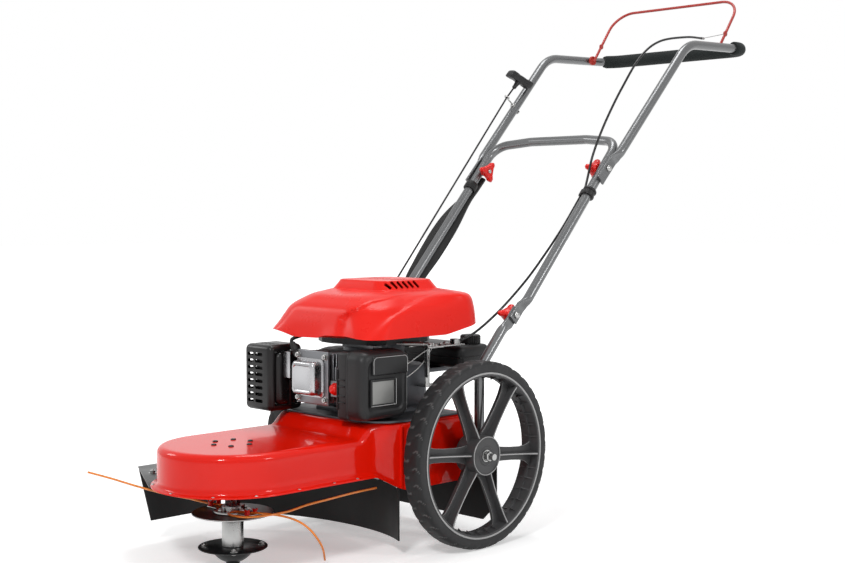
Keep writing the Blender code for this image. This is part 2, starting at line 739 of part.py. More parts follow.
def head():
    under_deck = DECK_TOP_Z - DECK_WALL - GAP
    housing = [(0.026, 0.196), (0.026, under_deck - 0.005), (0.046, under_deck - 0.005), (0.046, under_deck)]
    finish(bored(housing, SPINDLE_SHAFT_RADIUS + GAP, HEAD), "spindle_housing", CAST_ALUMINIUM, HEAD)

    holder_low = LINE_DISC_Z + LINE_DISC_THICKNESS + GAP
    holder_top = holder_low + LINE_HOLDER_HEIGHT
    sleeve_top = 0.1925
    shaft = [
        (0, 0.0285), (SPINDLE_BOLT_RADIUS, 0.0285), (SPINDLE_BOLT_RADIUS, holder_top + GAP),
        (SPINDLE_SLEEVE_RADIUS, holder_top + GAP), (SPINDLE_SLEEVE_RADIUS, PULLEY_Z - PULLEY_WIDTH / 2 - GAP),
        (SPINDLE_SHAFT_RADIUS, PULLEY_Z - PULLEY_WIDTH / 2 - GAP), (SPINDLE_SHAFT_RADIUS, sleeve_top),
        (SPINDLE_SHAFT_RADIUS, under_deck - 0.001), (0, under_deck - 0.001),
    ]
    made = turned(shaft, HEAD, "Z", 12)
    nut = turned([(0.0100, 0.0325), (0.0100, SKID_DISC_Z - GAP)], HEAD, "Z", 6)
    join(made, nut)
    finish(made, "spindle_shaft", BRIGHT_STEEL, HEAD)

    bolt_hole = SPINDLE_BOLT_RADIUS + GAP
    disc = [(LINE_DISC_RADIUS, LINE_DISC_Z), (LINE_DISC_RADIUS, LINE_DISC_Z + LINE_DISC_THICKNESS)]
    finish(bored(disc, bolt_hole, HEAD, 24), "line_disc", BLACK_STEEL, HEAD)

    plate_top = holder_low + LINE_HOLDER_PLATE
    holder = bored([(LINE_HOLDER_RADIUS, holder_low), (LINE_HOLDER_RADIUS, plate_top),
                    (0.020, plate_top + 0.0001),
                    (0.020, holder_top)], bolt_hole, HEAD, 16)
    reach, half = GUIDE_POST_CIRCLE + 0.006, GUIDE_POST_SPREAD + 0.005
    arms = [block(HEAD + Vector((-reach, -half, holder_low)), HEAD + Vector((reach, half, plate_top)))]
    for side in (1, -1):
        for across in (1, -1):
            foot = HEAD + Vector((side * GUIDE_POST_CIRCLE, across * GUIDE_POST_SPREAD, holder_low + 0.001))
            arms.append(rod(foot, foot + Vector((0, 0, LINE_HOLDER_HEIGHT - 0.001)), GUIDE_POST_RADIUS, 6))
    join(holder, *arms)
    cut(holder, rod(HEAD + Vector((0, 0, 0.08)), HEAD + Vector((0, 0, 0.13)), bolt_hole, 16))
    finish(holder, "line_holder", BRIGHT_STEEL, HEAD)

    spacer = [(SPACER_RADIUS, SKID_DISC_Z + SKID_DISC_THICKNESS + GAP), (SPACER_RADIUS, LINE_DISC_Z - GAP)]
    finish(bored(spacer, bolt_hole, HEAD, 16), "spacer_tube", BRIGHT_STEEL, HEAD)

    disc = [(SKID_DISC_RADIUS, SKID_DISC_Z), (SKID_DISC_RADIUS, SKID_DISC_Z + SKID_DISC_THICKNESS)]
    finish(bored(disc, bolt_hole, HEAD, 22), "skid_disc", BLACK_STEEL, HEAD)
    skid_cup()

    half = PULLEY_WIDTH / 2
    groove = DRIVEN_PULLEY_RADIUS - BELT_DEPTH - GROOVE_CLEARANCE
    pulley = pulley_profile(DRIVEN_PULLEY_RADIUS, groove, half)
    finish(bored(pulley, SPINDLE_SHAFT_RADIUS + GAP, HEAD + Vector((0, 0, PULLEY_Z))), "driven_pulley",
           BLACK_STEEL, HEAD)


def pulley_profile(radius, groove, half):
    """A V-groove pulley's outer points, from the bottom up."""
    return [(radius, -half), (radius, -half + 0.001), (groove, -0.0022), (groove, 0.0022),
            (radius, half - 0.001), (radius, half)]


def skid_cup():
    """The bowl that the head glides on, its rim under the skid disc, with a wear foot on the ground."""
    rim_z = SKID_DISC_Z - GAP
    middle_z = SKID_CUP_BOTTOM_Z + SKID_CUP_CURVE

    def bowl(curve, z):
        return (sqrt(curve**2 - (middle_z - z) ** 2), z)

    heights = (0.0140, 0.0205, 0.0290, rim_z)
    outer = [(0, 0), (SKID_CUP_FOOT_RADIUS - 0.001, 0), (SKID_CUP_FOOT_RADIUS, 0.0015)]
    outer += [bowl(SKID_CUP_CURVE, z) for z in heights]
    inner = [bowl(SKID_CUP_CURVE - SKID_CUP_WALL, z) for z in (rim_z, 0.0290, 0.0205)]
    made = turned([*outer, *inner, (0.0150, SKID_CUP_FLOOR_Z), (0, SKID_CUP_FLOOR_Z)], HEAD, "Z", 12)
    finish(made, "skid_cup", BLACK_STEEL, HEAD)


def trimmer_lines():
    """Two folded cutting lines, each hooked round the hub between its two guide posts."""
    z = LINE_DISC_Z + LINE_DISC_THICKNESS + LINE_HOLDER_PLATE + TRIMMER_LINE_RADIUS + 2 * GAP
    line_a = [(-0.310, -0.531, 0.1455), (-0.26, -0.512, 0.138), (-0.20, -0.4935, 0.129),
              (-0.140, -0.470, 0.120),
              (-0.100, -0.4475, 0.1145), (-0.070, -0.4305, z), (-0.050, HEAD_Y, z), (-0.030, -0.418, z),
              (-0.0235, -0.405, z), (-0.0300, -0.390, z), (-0.060, -0.372, z + 0.0010),
              (-0.100, -0.345, z + 0.002),
              (-0.150, -0.305, z + 0.003), (-0.200, -0.262, z + 0.004)]
    line_b = [(0.106, -0.300, 0.0125), (0.122, -0.318, 0.038), (0.1290, -0.336, 0.060),
              (0.1255, -0.352, 0.080),
              (0.1150, -0.368, 0.0945), (0.0980, -0.388, 0.104), (0.075, -0.411, z), (0.050, HEAD_Y, z),
              (0.030, -0.434, z), (0.0240, -0.445, z), (0.0310, -0.4575, z), (0.050, -0.4600, z),
              (0.075, -0.449, z), (0.092, -0.420, z + 0.001), (0.097, -0.380, z + 0.002),
              (0.094, -0.330, 0.115),
              (0.098, -0.280, 0.119), (0.1075, -0.230, 0.1245), (0.118, -0.185, 0.1285)]
    cord("trimmer_line_a", line_a, TRIMMER_LINE_RADIUS, LINE_ORANGE, 0.035)
    cord("trimmer_line_b", line_b, TRIMMER_LINE_RADIUS, LINE_ORANGE, 0.035)


def belt_drive():
    half = PULLEY_WIDTH / 2
    groove = DRIVE_PULLEY_RADIUS - BELT_DEPTH - GROOVE_CLEARANCE
    pulley = bored(pulley_profile(DRIVE_PULLEY_RADIUS, groove, half), CRANK_RADIUS + GAP,
                   CRANK + Vector((0, 0, PULLEY_Z)))
    finish(pulley, "drive_pulley", BLACK_STEEL, CRANK)
    low = PULLEY_Z - half
    crank = [(0, low - 0.004), (0.0095, low - 0.004), (0.0095, low), (CRANK_RADIUS, low),
             (CRANK_RADIUS, BLOWER_TOP_Z + 0.004), (0, BLOWER_TOP_Z + 0.004)]
    finish(turned(crank, CRANK, "Z", 16), "crankshaft", BRIGHT_STEEL, CRANK)

    inner_a = DRIVEN_PULLEY_RADIUS - BELT_DEPTH
    inner_b = DRIVE_PULLEY_RADIUS - BELT_DEPTH
    distance = ENGINE_Y - HEAD_Y
    lean = asin((inner_a - inner_b) / distance)
    rings = []
    for centre_y, radius, start, turn in ((ENGINE_Y, inner_b, lean, pi - 2 * lean),
                                          (HEAD_Y, inner_a, pi - lean, pi + 2 * lean)):
        for i in range(11):
            angle = start + turn * i / 10
            out = Vector((cos(angle), sin(angle), 0))
            foot = Vector((0, centre_y, PULLEY_Z)) + out * radius
            crown = foot + out * (BELT_DEPTH - 0.0005)
            narrow, wide = Vector((0, 0, 0.0018)), Vector((0, 0, BELT_TOP_WIDTH / 2 - 0.0008))
            rings.append([foot - narrow, foot + narrow, crown + wide, crown - wide])
    finish(skin(rings, closed=True), "v_belt", RUBBER)


# Engine


def crankcase():
    half = CRANKCASE_HALF_WIDTH
    base_z = PLATFORM_TOP_Z + GAP
    made = block((-half, CRANKCASE_FRONT_Y, base_z + 0.006), (half, CRANKCASE_REAR_Y, CRANKCASE_TOP_Z), 0.014)
    foot = block((-half - 0.002, CRANKCASE_FRONT_Y - 0.01, base_z),
                 (half + 0.002, CRANKCASE_REAR_Y + 0.016, base_z + 0.012), 0.003, 1)
    tray_top = TANK_LOW_Z - GAP
    tray = block((-0.05, CRANKCASE_REAR_Y - 0.03, tray_top - 0.008), (0.05, 0.100, tray_top))
    neck = rod(CRANK + Vector((0, 0, CRANKCASE_TOP_Z - 0.004)), CRANK + Vector((0, 0, BLOWER_LOW_Z - GAP)),
               0.060, 14)
    flange = prism(platform_outline(0.006), base_z, base_z + FLANGE_PLATE)
    cut(flange, block((-0.2, CRANKCASE_REAR_Y + 0.010, base_z - 0.01), (0.2, 0.1, base_z + 0.01)))
    join(made, foot, tray, neck, flange)
    cut(made, rod(CRANK + Vector((0, 0, 0.2)), CRANK + Vector((0, 0, 0.4)), CRANK_RADIUS + GAP, 16))
    finish(made, "crankcase", CAST_ALUMINIUM)


def cylinder():
    """The finned barrel and its head plate, lying forward from the crankcase."""
    rear, front = CRANKCASE_FRONT_Y - GAP, CYLINDER_HEAD_Y
    core, fin_x, fin_z = 0.032, 0.045, 0.046
    rings = []

    def ring(y, half_x, half_z):
        corners = rounded_rectangle(half_x, half_z, 0.008, (0, CYLINDER_Z), 1)
        rings.append([Vector((x, y, z)) for x, z in corners])

    ring(rear, core, core)
    pitch = (rear - front - 0.014) / FIN_COUNT
    for i in range(FIN_COUNT):
        y = rear - 0.005 - pitch * i
        ring(y, core, core)
        ring(y - 0.0001, fin_x, fin_z)
        ring(y - 0.0023, fin_x, fin_z)
        ring(y - 0.0024, core, core)
    ring(front + 0.007, core, core)
    ring(front + 0.0069, fin_x, fin_z + 0.005)
    ring(front, fin_x, fin_z + 0.005)
    finish(skin(rings), "cylinder", CAST_ALUMINIUM)


def valve_cover():
    """The pressed cover on the head plate: a rim, and a box with rounded front edges."""
    face = CYLINDER_HEAD_Y - GAP
    rings = []
    for y, spread, corner in ((face, 0.004, 0.009), (face - 0.003, 0.004, 0.009), (face - 0.0031, 0, 0.008),
                              (VALVE_COVER_FRONT_Y + 0.005, -0.001, 0.008),
                              (VALVE_COVER_FRONT_Y + 0.0015, -0.0025, 0.007),
                              (VALVE_COVER_FRONT_Y, -0.006, 0.005)):
        corners = rounded_rectangle(0.033 + spread, 0.032 + spread, corner, (0, CYLINDER_Z), 3)
        rings.append([Vector((x, y, z)) for x, z in corners])
    finish(skin(rings), "valve_cover", CAST_ALUMINIUM)


def muffler():
    y_low, y_high = MUFFLER_LOW.y, MUFFLER_HIGH.y
    made = block(MUFFLER_LOW, MUFFLER_HIGH, MUFFLER_EDGE)
    port = Vector((0, EXHAUST_Y, EXHAUST_Z))
    stub = rod(port - Vector((0.085, 0, 0)), port - Vector((0.045 + GAP, 0, 0)), EXHAUST_RADIUS, 20)
    join(made, stub)
    finish(made, "muffler", BLACK_STEEL)
    guard_front, guard_low, guard_top = -0.2720, 0.2560, 0.3830
    left, right, rear = -0.085, -0.166, -0.190
    wall = 0.002
    guard = block((right, guard_front, guard_low), (left, rear, guard_top), 0.010)
    inside = block((right + wall, guard_front + wall, guard_low + wall),
                   (left + 0.02, rear + 0.02, guard_top - wall), 0.008, 1)
    cut(guard, inside)
    rows, row_pitch, slot_height = 5, 0.0150, 0.0085
    middle = (guard_low + guard_top) / 2
    slots = []
    for i in range(rows):
        z = middle + (i - (rows - 1) / 2) * row_pitch
        slots.append(block((right + 0.016, guard_front - 0.01, z - slot_height / 2),
                           (left - 0.014, guard_front + 0.012, z + slot_height / 2)))
        slots.append(block((right - 0.01, guard_front + 0.018, z - slot_height / 2),
                           (right + 0.012, rear - 0.014, z + slot_height / 2)))
    cut(guard, *slots)
    standoffs = []
    for z in GUARD_PIN_HEIGHTS:
        standoffs.append(rod((left - 0.008, guard_front + wall / 2, z), (left - 0.008, y_low - GAP, z), 0.004,
                             12))
    join(guard, *standoffs)
    finish(guard, "muffler_guard", BLACK_STEEL)


def spark_plug_boot():
    """The plug's rubber boot, leaning out of the right side of the cylinder head."""
    start = Vector((-0.0430, CYLINDER_HEAD_Y + 0.0035, 0.3655))
    direction = Vector((-0.55, -0.10, 0.83)).normalized()
    made = turned([(0, 0.0), (0.0085, 0.0), (0.0085, 0.016), (0.006, 0.020), (0.006, 0.030), (0, 0.032)],
                  start - direction * 0.004, direction, 12)
    cut(made, block((-0.045 - GAP, -0.3, 0.2), (0.1, 0, 0.5)))
    finish(made, "spark_plug_boot", RUBBER)


def air_filter():
    body = block((AIR_BOX_INNER_X, AIR_BOX_FRONT_Y + 0.003, AIR_BOX_BOTTOM_Z),
                 (AIR_BOX_SPLIT_X - GAP, AIR_BOX_REAR_Y - 0.003, AIR_BOX_TOP_Z - 0.003), 0.006)
    finish(body, "air_filter_base", BLACK_PLASTIC)
    half_y = (AIR_BOX_REAR_Y - AIR_BOX_FRONT_Y) / 2
    centre_y = (AIR_BOX_REAR_Y + AIR_BOX_FRONT_Y) / 2
    half_z = (AIR_BOX_TOP_Z - AIR_BOX_BOTTOM_Z) / 2
    centre_z = (AIR_BOX_TOP_Z + AIR_BOX_BOTTOM_Z) / 2
    rings = []
    for x, inset in ((AIR_BOX_SPLIT_X, 0), (AIR_BOX_OUTER_X - 0.020, 0), (AIR_BOX_OUTER_X - 0.007, 0.002),
                     (AIR_BOX_OUTER_X - 0.0015, 0.006),
                     (AIR_BOX_OUTER_X, 0.010), (AIR_BOX_OUTER_X, 0.019), (AIR_BOX_OUTER_X - 0.003, 0.021)):
        corners = rounded_rectangle(half_y - inset, half_z - inset, 0.020 - 0.5 * inset, (centre_y, centre_z))
        rings.append([Vector((x, y, z)) for y, z in corners])
    finish(skin(rings), "air_filter_cover", BLACK_PLASTIC)
    carburettor = block((0.045 + GAP, -0.222, 0.300), (AIR_BOX_INNER_X - GAP, -0.180, 0.345), 0.003, 1)
    half = PRIMER_RADIUS + 0.0012
    centre = Vector((AIR_BOX_INNER_X - GAP - half, PRIMER_FACE_Y, PRIMER_Z))
    primer_body = block(centre + Vector((-half, 0, -half - 0.002)),
                        centre + Vector((half, 0.020, half + 0.002)))
    join(carburettor, primer_body)
    recess = PRIMER_STROKE + 3 * GAP
    cut(carburettor, rod(centre - Vector((0, 0.01, 0)), centre + Vector((0, recess, 0)), PRIMER_RADIUS + GAP,
                         14))
    finish(carburettor, "carburettor", CAST_ALUMINIUM)
    centre += Vector((0, recess - PRIMER_STROKE - GAP, 0))
    dome = [(0, 0), (PRIMER_RADIUS, 0), (PRIMER_RADIUS, 0.003)]
    for i in range(1, 5):
        angle = pi / 2 * i / 4
        dome.append((PRIMER_RADIUS * cos(angle) if i < 4 else 0, 0.003 + 0.009 * sin(angle)))
    bulb = turned(dome, centre, Vector((0, -1, 0)), 14)
    finish(bulb, "primer_bulb", RED_PLASTIC, centre)


def blower_and_starter():
    low = BLOWER_LOW_Z
    r, w = BLOWER_RADIUS, BLOWER_WALL
    profile = [(0.050, low), (r, low), (r, BLOWER_TOP_Z), (0.070, BLOWER_TOP_Z), (0.070, BLOWER_TOP_Z - w),
               (r - w, BLOWER_TOP_Z - w), (r - w, low + w), (0.050, low + w)]
    finish(turned(profile, CRANK, "Z", 18, ring=True), "blower_housing", BLACK_PLASTIC)

    low = BLOWER_LOW_Z + w + 0.003
    bore = CRANK_RADIUS + GAP
    rings = [(bore, low), (FLYWHEEL_RADIUS, low), (FLYWHEEL_RADIUS, low + 0.005), (0.045, low + 0.005),
             (0.040, low + 0.016), (bore, low + 0.016)]
    flywheel = turned(rings, CRANK, "Z", 16, ring=True)
    vanes = []
    for i in range(VANE_COUNT):
        angle = 2 * pi * i / VANE_COUNT
        vane = block((0.058, -0.0015, low + 0.004), (FLYWHEEL_RADIUS - 0.004, 0.0015, low + 0.014))
        vane.data.transform(Matrix.Translation(CRANK) @ Matrix.Rotation(angle, 4, "Z"))
        vanes.append(vane)
    join(flywheel, *vanes)
    finish(flywheel, "flywheel", CAST_ALUMINIUM, CRANK)

    base = BLOWER_TOP_Z + GAP
    plate_top = RECOIL_PLATE_Z + 0.0035
    housing = turned([(0.088, base), (0.105, base), (0.105, base + 0.003), (0.088, base + 0.003)], CRANK, "Z",
                     16, ring=True)
    pieces = [turned([(0.104, RECOIL_PLATE_Z), (0.104, plate_top)], CRANK, "Z", 16),
              rod(CRANK + Vector((0, 0, REEL_Z - 0.003)), CRANK + Vector((0, 0, RECOIL_PLATE_Z + 0.001)),
                  0.008, 12)]
    for degrees in (30, 90, 175, 270):
        foot = CRANK + 0.0965 * Vector((cos(radians(degrees)), sin(radians(degrees)), 0))
        pieces.append(rod(foot + Vector((0, 0, base + 0.001)), foot + Vector((0, 0, RECOIL_PLATE_Z + 0.001)),
                          0.005, 6))
    join(housing, *pieces)
    finish(housing, "recoil_housing", BLACK_STEEL)

    reel = [(REEL_RADIUS, REEL_Z), (REEL_RADIUS, REEL_Z + 0.002), (REEL_RADIUS - 0.010, REEL_Z + 0.004),
            (REEL_RADIUS - 0.010, REEL_Z + 0.012), (REEL_RADIUS, REEL_Z + 0.014),
            (REEL_RADIUS, REEL_Z + 0.016)]
    finish(bored(reel, 0.008 + GAP, CRANK, 16), "recoil_reel", BLACK_PLASTIC, CRANK)


def cover_outline(rear, front, inset, steps=3):
    """A ring of the hood about the crank; rear and front each give a half width, a depth and a corner."""
    points = []
    for sign_x, (half, reach, corner), sign_y, start in ((1, rear, 1, 0), (-1, rear, 1, 90),
            (-1, front, -1, 180), (1, front, -1, 270)):
        half, reach, corner = half - inset, reach - inset, corner - inset
        for i in range(steps + 1):
            angle = radians(start + 90 * i / steps)
            x = sign_x * (half - corner) + corner * cos(angle)
            points.append((x, sign_y * (reach - corner) + corner * sin(angle)))
    return points


def cover_rings(inset):
    """The hood's rings from its rim to its raised centre: steep behind, a long slope in front."""
    rows = [
        (COVER_RIM_Z, COVER_RIM_RISE, (0.1550, 0.1520, 0.046), (0.1550, 0.1520, 0.046)),
        (COVER_RIM_Z + 0.035, 0.3 * COVER_RIM_RISE, (0.1535, 0.1505, 0.046), (0.1435, 0.1400, 0.062)),
        (COVER_RIM_Z + 0.053, 0.0, (0.1515, 0.1490, 0.046), (0.1360, 0.1320, 0.071)),
        (COVER_SHOULDER_Z - 0.017, 0.0, (0.1490, 0.1465, 0.047), (0.1220, 0.1170, 0.076)),
        (COVER_SHOULDER_Z - 0.0085, 0.0, (0.1430, 0.1400, 0.048), (0.1080, 0.1030, 0.075)),
        (COVER_SHOULDER_Z - 0.004, 0.0, (0.1200, 0.1250, 0.045), (0.0950, 0.0800, 0.060)),
        (COVER_SHOULDER_Z, 0.0, (0.0830, 0.1115, 0.034), (0.0830, 0.0515, 0.034)),
        (COVER_TOP_Z - 0.006, 0.0, (0.0740, 0.1020, 0.030), (0.0740, 0.0420, 0.030)),
        (COVER_TOP_Z, 0.0, (0.0690, 0.0980, 0.027), (0.0690, 0.0380, 0.027)),
    ]
    rings = []
    for i, (z, rise, rear, front) in enumerate(rows):
        drop = inset * min(1.0, i / 4)
        ring = []
        for x, y in cover_outline(rear, front, inset):
            climb = rise * max(0.0, min(1.0, (y - COVER_RISE_START) / (COVER_HALF_DEPTH - COVER_RISE_START)))
            ring.append(CRANK + Vector((x, y, z + climb - drop)))
        rings.append(ring)
    return rings


def engine_cover():
    outer = cover_rings(0)
    inner = cover_rings(COVER_WALL)
    inner[0] = [point - Vector((0, 0, 0.005)) for point in inner[0]]
    made = skin(outer)
    cut(made, skin(inner))
    plate_top = RECOIL_PLATE_Z + 0.0035
    bosses = []
    for x in (-0.055, 0.055):
        for y in (-0.028, 0.075):
            foot = CRANK + Vector((x, y, plate_top + GAP))
            bosses.append(rod(foot, CRANK + Vector((x, y, COVER_TOP_Z - COVER_WALL + 0.001)), 0.007, 6))
    join(made, *bosses)
    outlet = rod(ROPE_OUTLET + Vector((0.004, -0.020, -0.017)), ROPE_OUTLET + Vector((-0.008, 0.040, 0.034)),
                 0.006, 10)
    slots = []
    for i in range(6):
        x = (i - 2.5) * 0.021
        slot = block((-0.0035, -0.026, COVER_TOP_Z - 0.02), (0.0035, 0.026, COVER_TOP_Z + 0.01))
        slot.data.transform(Matrix.Translation((x, ENGINE_Y + 0.025, 0)) @ Matrix.Rotation(radians(-20), 4,
                "Z"))
        slots.append(slot)
    cut(made, outlet, *slots)
    finish(made, "engine_cover", RED_COVER)


def fuel_tank():
    low, high = TANK_LOW_Z, TANK_TOP_Z
    made = block((-0.072, 0.0440, low), (0.112, 0.132, high), 0.012)
    cap_centre = Vector((0.082, 0.104, high))
    neck = rod(cap_centre - Vector((0, 0, 0.004)), cap_centre + Vector((0, 0, 0.010)), FUEL_NECK_RADIUS, 16)
    join(made, neck)
    finish(made, "fuel_tank", BLACK_PLASTIC)
    base = high + GAP
    teeth = 12
    rings = []
    for z, shrink in ((base, 0), (base + 0.015, 0), (base + 0.018, 0.003)):
        ring = []
        for i in range(2 * teeth):
            angle = pi * i / teeth
            radius = FUEL_CAP_RADIUS - shrink - (0.0012 if i % 2 else 0)
            ring.append(Vector((cap_centre.x + radius * cos(angle), cap_centre.y + radius * sin(angle), z)))
        rings.append(ring)
    cap = skin(rings)
    pivot = Vector((cap_centre.x, cap_centre.y, base))
    cut(cap, rod(pivot - Vector((0, 0, 0.01)), pivot + Vector((0, 0, 0.010)), FUEL_NECK_RADIUS + GAP, 16))
    finish(cap, "fuel_cap", BLACK_PLASTIC, pivot)


def controls():
    """The control bracket on the blower, its brake lever, the governor spring and the cable's clamp."""
    low = CONTROL_Z
    made = block((CONTROL_X, -0.060, low), (CONTROL_X + 0.030, 0.040, low + 0.002))
    tab = block((CONTROL_X - 0.010, 0.012, low), (CONTROL_X + 0.008, 0.030, low + 0.002))
    clamp = block((CONTROL_X + 0.006, 0.022, low + 0.001), (CONTROL_X + 0.020, 0.036, low + 0.0115), 0.001, 1)
    foot = block((CONTROL_X + 0.000, -0.040, CRANKCASE_TOP_Z - 0.045),
                 (CONTROL_X + 0.0025, 0.010, low + 0.001))
    shelf = block((CRANKCASE_HALF_WIDTH + GAP, -0.040, CRANKCASE_TOP_Z - 0.045),
                  (CONTROL_X + 0.001, 0.010 - 0.020, CRANKCASE_TOP_Z - 0.042))
    pillar = rod((CONTROL_X + 0.022, -0.040, low - 0.001), (CONTROL_X + 0.022, -0.040, low + 0.008), 0.002,
                 12)
    join(made, tab, clamp, foot, shelf, pillar)
    cut(made, rod((CONTROL_X + 0.013, 0.0, low + 0.0075), (CONTROL_X + 0.013, 0.08, low + 0.0075),
                  CABLE_RADIUS + GAP, 12))
    cut(made, turned([(0.0031, 0), (0.0031, 0.02)], (CONTROL_X + 0.014, -0.012, low - 0.01), "Z", 16))
    finish(made, "control_bracket", BRIGHT_STEEL)
    pivot = Vector((CONTROL_X + 0.014, -0.012, low))
    lever = block(pivot + Vector((-0.0045, -0.0045, 0.0023)), pivot + Vector((0.0045, 0.024, 0.0043)), 0.0008,
                  1)
    pin = rod(pivot + Vector((0, 0, -0.002)), pivot + Vector((0, 0, 0.006)), 0.0028, 16)
    join(lever, pin)
    finish(lever, "brake_lever", BRIGHT_STEEL, pivot)
    governor_spring(low)


def governor_spring(bracket_z):
    """A tension spring between the carburettor side and the bracket's pillar, one unbroken helix."""
    start = Vector((CONTROL_X + 0.022, -0.0420 - GAP, bracket_z + 0.0055))
    end = Vector((CONTROL_X + 0.010, -0.1240, bracket_z + 0.0110))
    along = end - start
    first, second = frame_for(along)
    points_per_turn = 7
    count = SPRING_TURNS * points_per_turn
    straight = 2 * SPRING_WIRE_RADIUS
    run = along.normalized()
    coil_start = start + run * 0.010
    coil_run = along - run * 0.020
    points = [start, start + run * straight]
    for i in range(count + 1):
        angle = 2 * pi * i / points_per_turn
        points.append(coil_start + coil_run * (i / count)
                      + SPRING_COIL_RADIUS * (cos(angle) * first + sin(angle) * second))
    points += [end - run * straight, end]
    pitch = coil_run.length / SPRING_TURNS
    print(f"governor spring: least gap between turns {1000 * (pitch - 2 * SPRING_WIRE_RADIUS):.2f} mm")
    curve = bpy.data.curves.new("governor_spring", "CURVE")
    curve.dimensions = "3D"
    curve.bevel_depth = SPRING_WIRE_RADIUS
    curve.bevel_resolution = 1
    curve.use_fill_caps = True
    spline = curve.splines.new("POLY")
    spline.points.add(len(points) - 1)
    for point, place in zip(spline.points, points):
        point.co = (*place, 1)
    curve.materials.append(material_for(BRIGHT_STEEL))
    made = bpy.data.objects.new("governor_spring", curve)
    made.parent = bpy.data.objects["machine"]
    bpy.context.scene.collection.objects.link(made)


# Handle


def flat_shapes(points, flats):
    """Section shapes along a path: flats lists (point, reach, shift) pressed places."""
    shapes = [None] * len(points)
    for i, point in enumerate(points):
        for place, reach, shift in flats:
            if (point - place).length <= reach + 1e-6:
                shapes[i] = (shift, PLATE_HALF_THICKNESS, PLATE_HALF_WIDTH)
    return shapes


def bolt_hole(y, z):
    return rod((-0.3, y, z), (0.3, y, z), BOLT_RADIUS + GAP, 8)


def bracket_tubes():
    for side, name in ((1, "left_bracket"), (-1, "right_bracket")):
        x = side * BRACKET_X
        bend_z = LOWER_BOLT.z - (LOWER_BOLT.y - BRACKET_Y) * tan(HANDLE_SLOPE)
        foot = Vector((x, BRACKET_Y, BRACKET_FOOT_Z))
        bend = Vector((x, BRACKET_Y, bend_z))
        bolt = Vector((x, LOWER_BOLT.y, LOWER_BOLT.z))
        path = bent([foot, bend, bolt - ALONG_HANDLE * (PLATE_LENGTH + 0.012)], 0.05)
        path += [bolt - ALONG_HANDLE * PLATE_LENGTH * 0.6, bolt,
                 bolt + ALONG_HANDLE * (BOLT_END_MARGIN - 0.005)]
        shift = TUBE_RADIUS - PLATE_HALF_THICKNESS
        shapes = flat_shapes(path, [(bolt, PLATE_LENGTH * 0.6, side * shift)])
        tip = bolt + ALONG_HANDLE * BOLT_END_MARGIN
        path.append(tip)
        shapes.append((side * shift, PLATE_HALF_THICKNESS, PLATE_HALF_WIDTH * 0.6))
        made = tube(path, TUBE_RADIUS, shapes=shapes)
        boss = rod((x, PLATFORM_REAR_Y + GAP, 0.170), (x, BRACKET_Y, 0.170), 0.006, 16)
        tongue = rod((x, BRACKET_Y, 0.146), (x, REAR_FLAP_Y - GAP, 0.146), 0.0035)
        join(made, boss, tongue)
        cut(made, bolt_hole(LOWER_BOLT.y, LOWER_BOLT.z))
        finish(made, name, TUBE_GREY, bolt)


def middle_handle():
    """One inverted U: two legs from the lower bolts, past the upper bolts, to the crossbar."""
    def leg(side):
        x = side * MIDDLE_X
        bolt = Vector((x, LOWER_BOLT.y, LOWER_BOLT.z))
        return x, bolt

    def half_path(side):
        x, bolt = leg(side)
        along = ALONG_HANDLE
        start = [bolt - along * BOLT_END_MARGIN, bolt - along * (BOLT_END_MARGIN - 0.005), bolt,
                 bolt + along * PLATE_LENGTH * 0.6, bolt + along * (PLATE_LENGTH + 0.012)]
        bend_at = Vector((x, CROSSBAR_Y - 0.014, 0)) + Vector((0, 0,
                bolt.z + (CROSSBAR_Y - 0.014 - bolt.y) * tan(HANDLE_SLOPE)))
        return start, bend_at

    left, left_bend = half_path(1)
    right, right_bend = half_path(-1)
    inner = Vector((0, CROSSBAR_Y, LOWER_BOLT.z + (CROSSBAR_Y - 0.006 - LOWER_BOLT.y) * tan(HANDLE_SLOPE)))
    corner_left = [left[-1], left_bend, inner + Vector((0.08, 0, 0)), inner - Vector((0.08, 0, 0)),
                   right_bend, right[-1]]
    top = bent(corner_left, 0.042)
    path = left[:-1] + top + right[-2::-1]
    inward = PLATE_HALF_THICKNESS - TUBE_RADIUS
    shapes = [None] * len(path)
    for i in (1, 2, 3):
        shapes[i] = (inward, PLATE_HALF_THICKNESS, PLATE_HALF_WIDTH)
        shapes[-1 - i] = (inward, PLATE_HALF_THICKNESS, PLATE_HALF_WIDTH)
    shapes[0] = shapes[-1] = (inward, PLATE_HALF_THICKNESS, PLATE_HALF_WIDTH * 0.6)
    made = tube(path, TUBE_RADIUS, shapes=shapes)
    cut(made, bolt_hole(LOWER_BOLT.y, LOWER_BOLT.z), bolt_hole(UPPER_BOLT.y, UPPER_BOLT.z))
    finish(made, "middle_handle", TUBE_GREY, LOWER_BOLT)


def rail_path():
    """The upper handle's corners from its left foot over both rails to its right foot."""
    foot = Vector((UPPER_X, UPPER_BOLT.y, UPPER_BOLT.z))
    rail = Vector((RAIL_X, RAIL_Y, RAIL_Z))
    up = (rail - foot).normalized()
    bar = Vector((RAIL_X, REAR_BAR_Y, REAR_BAR_Z))
    return foot, rail, up, bar


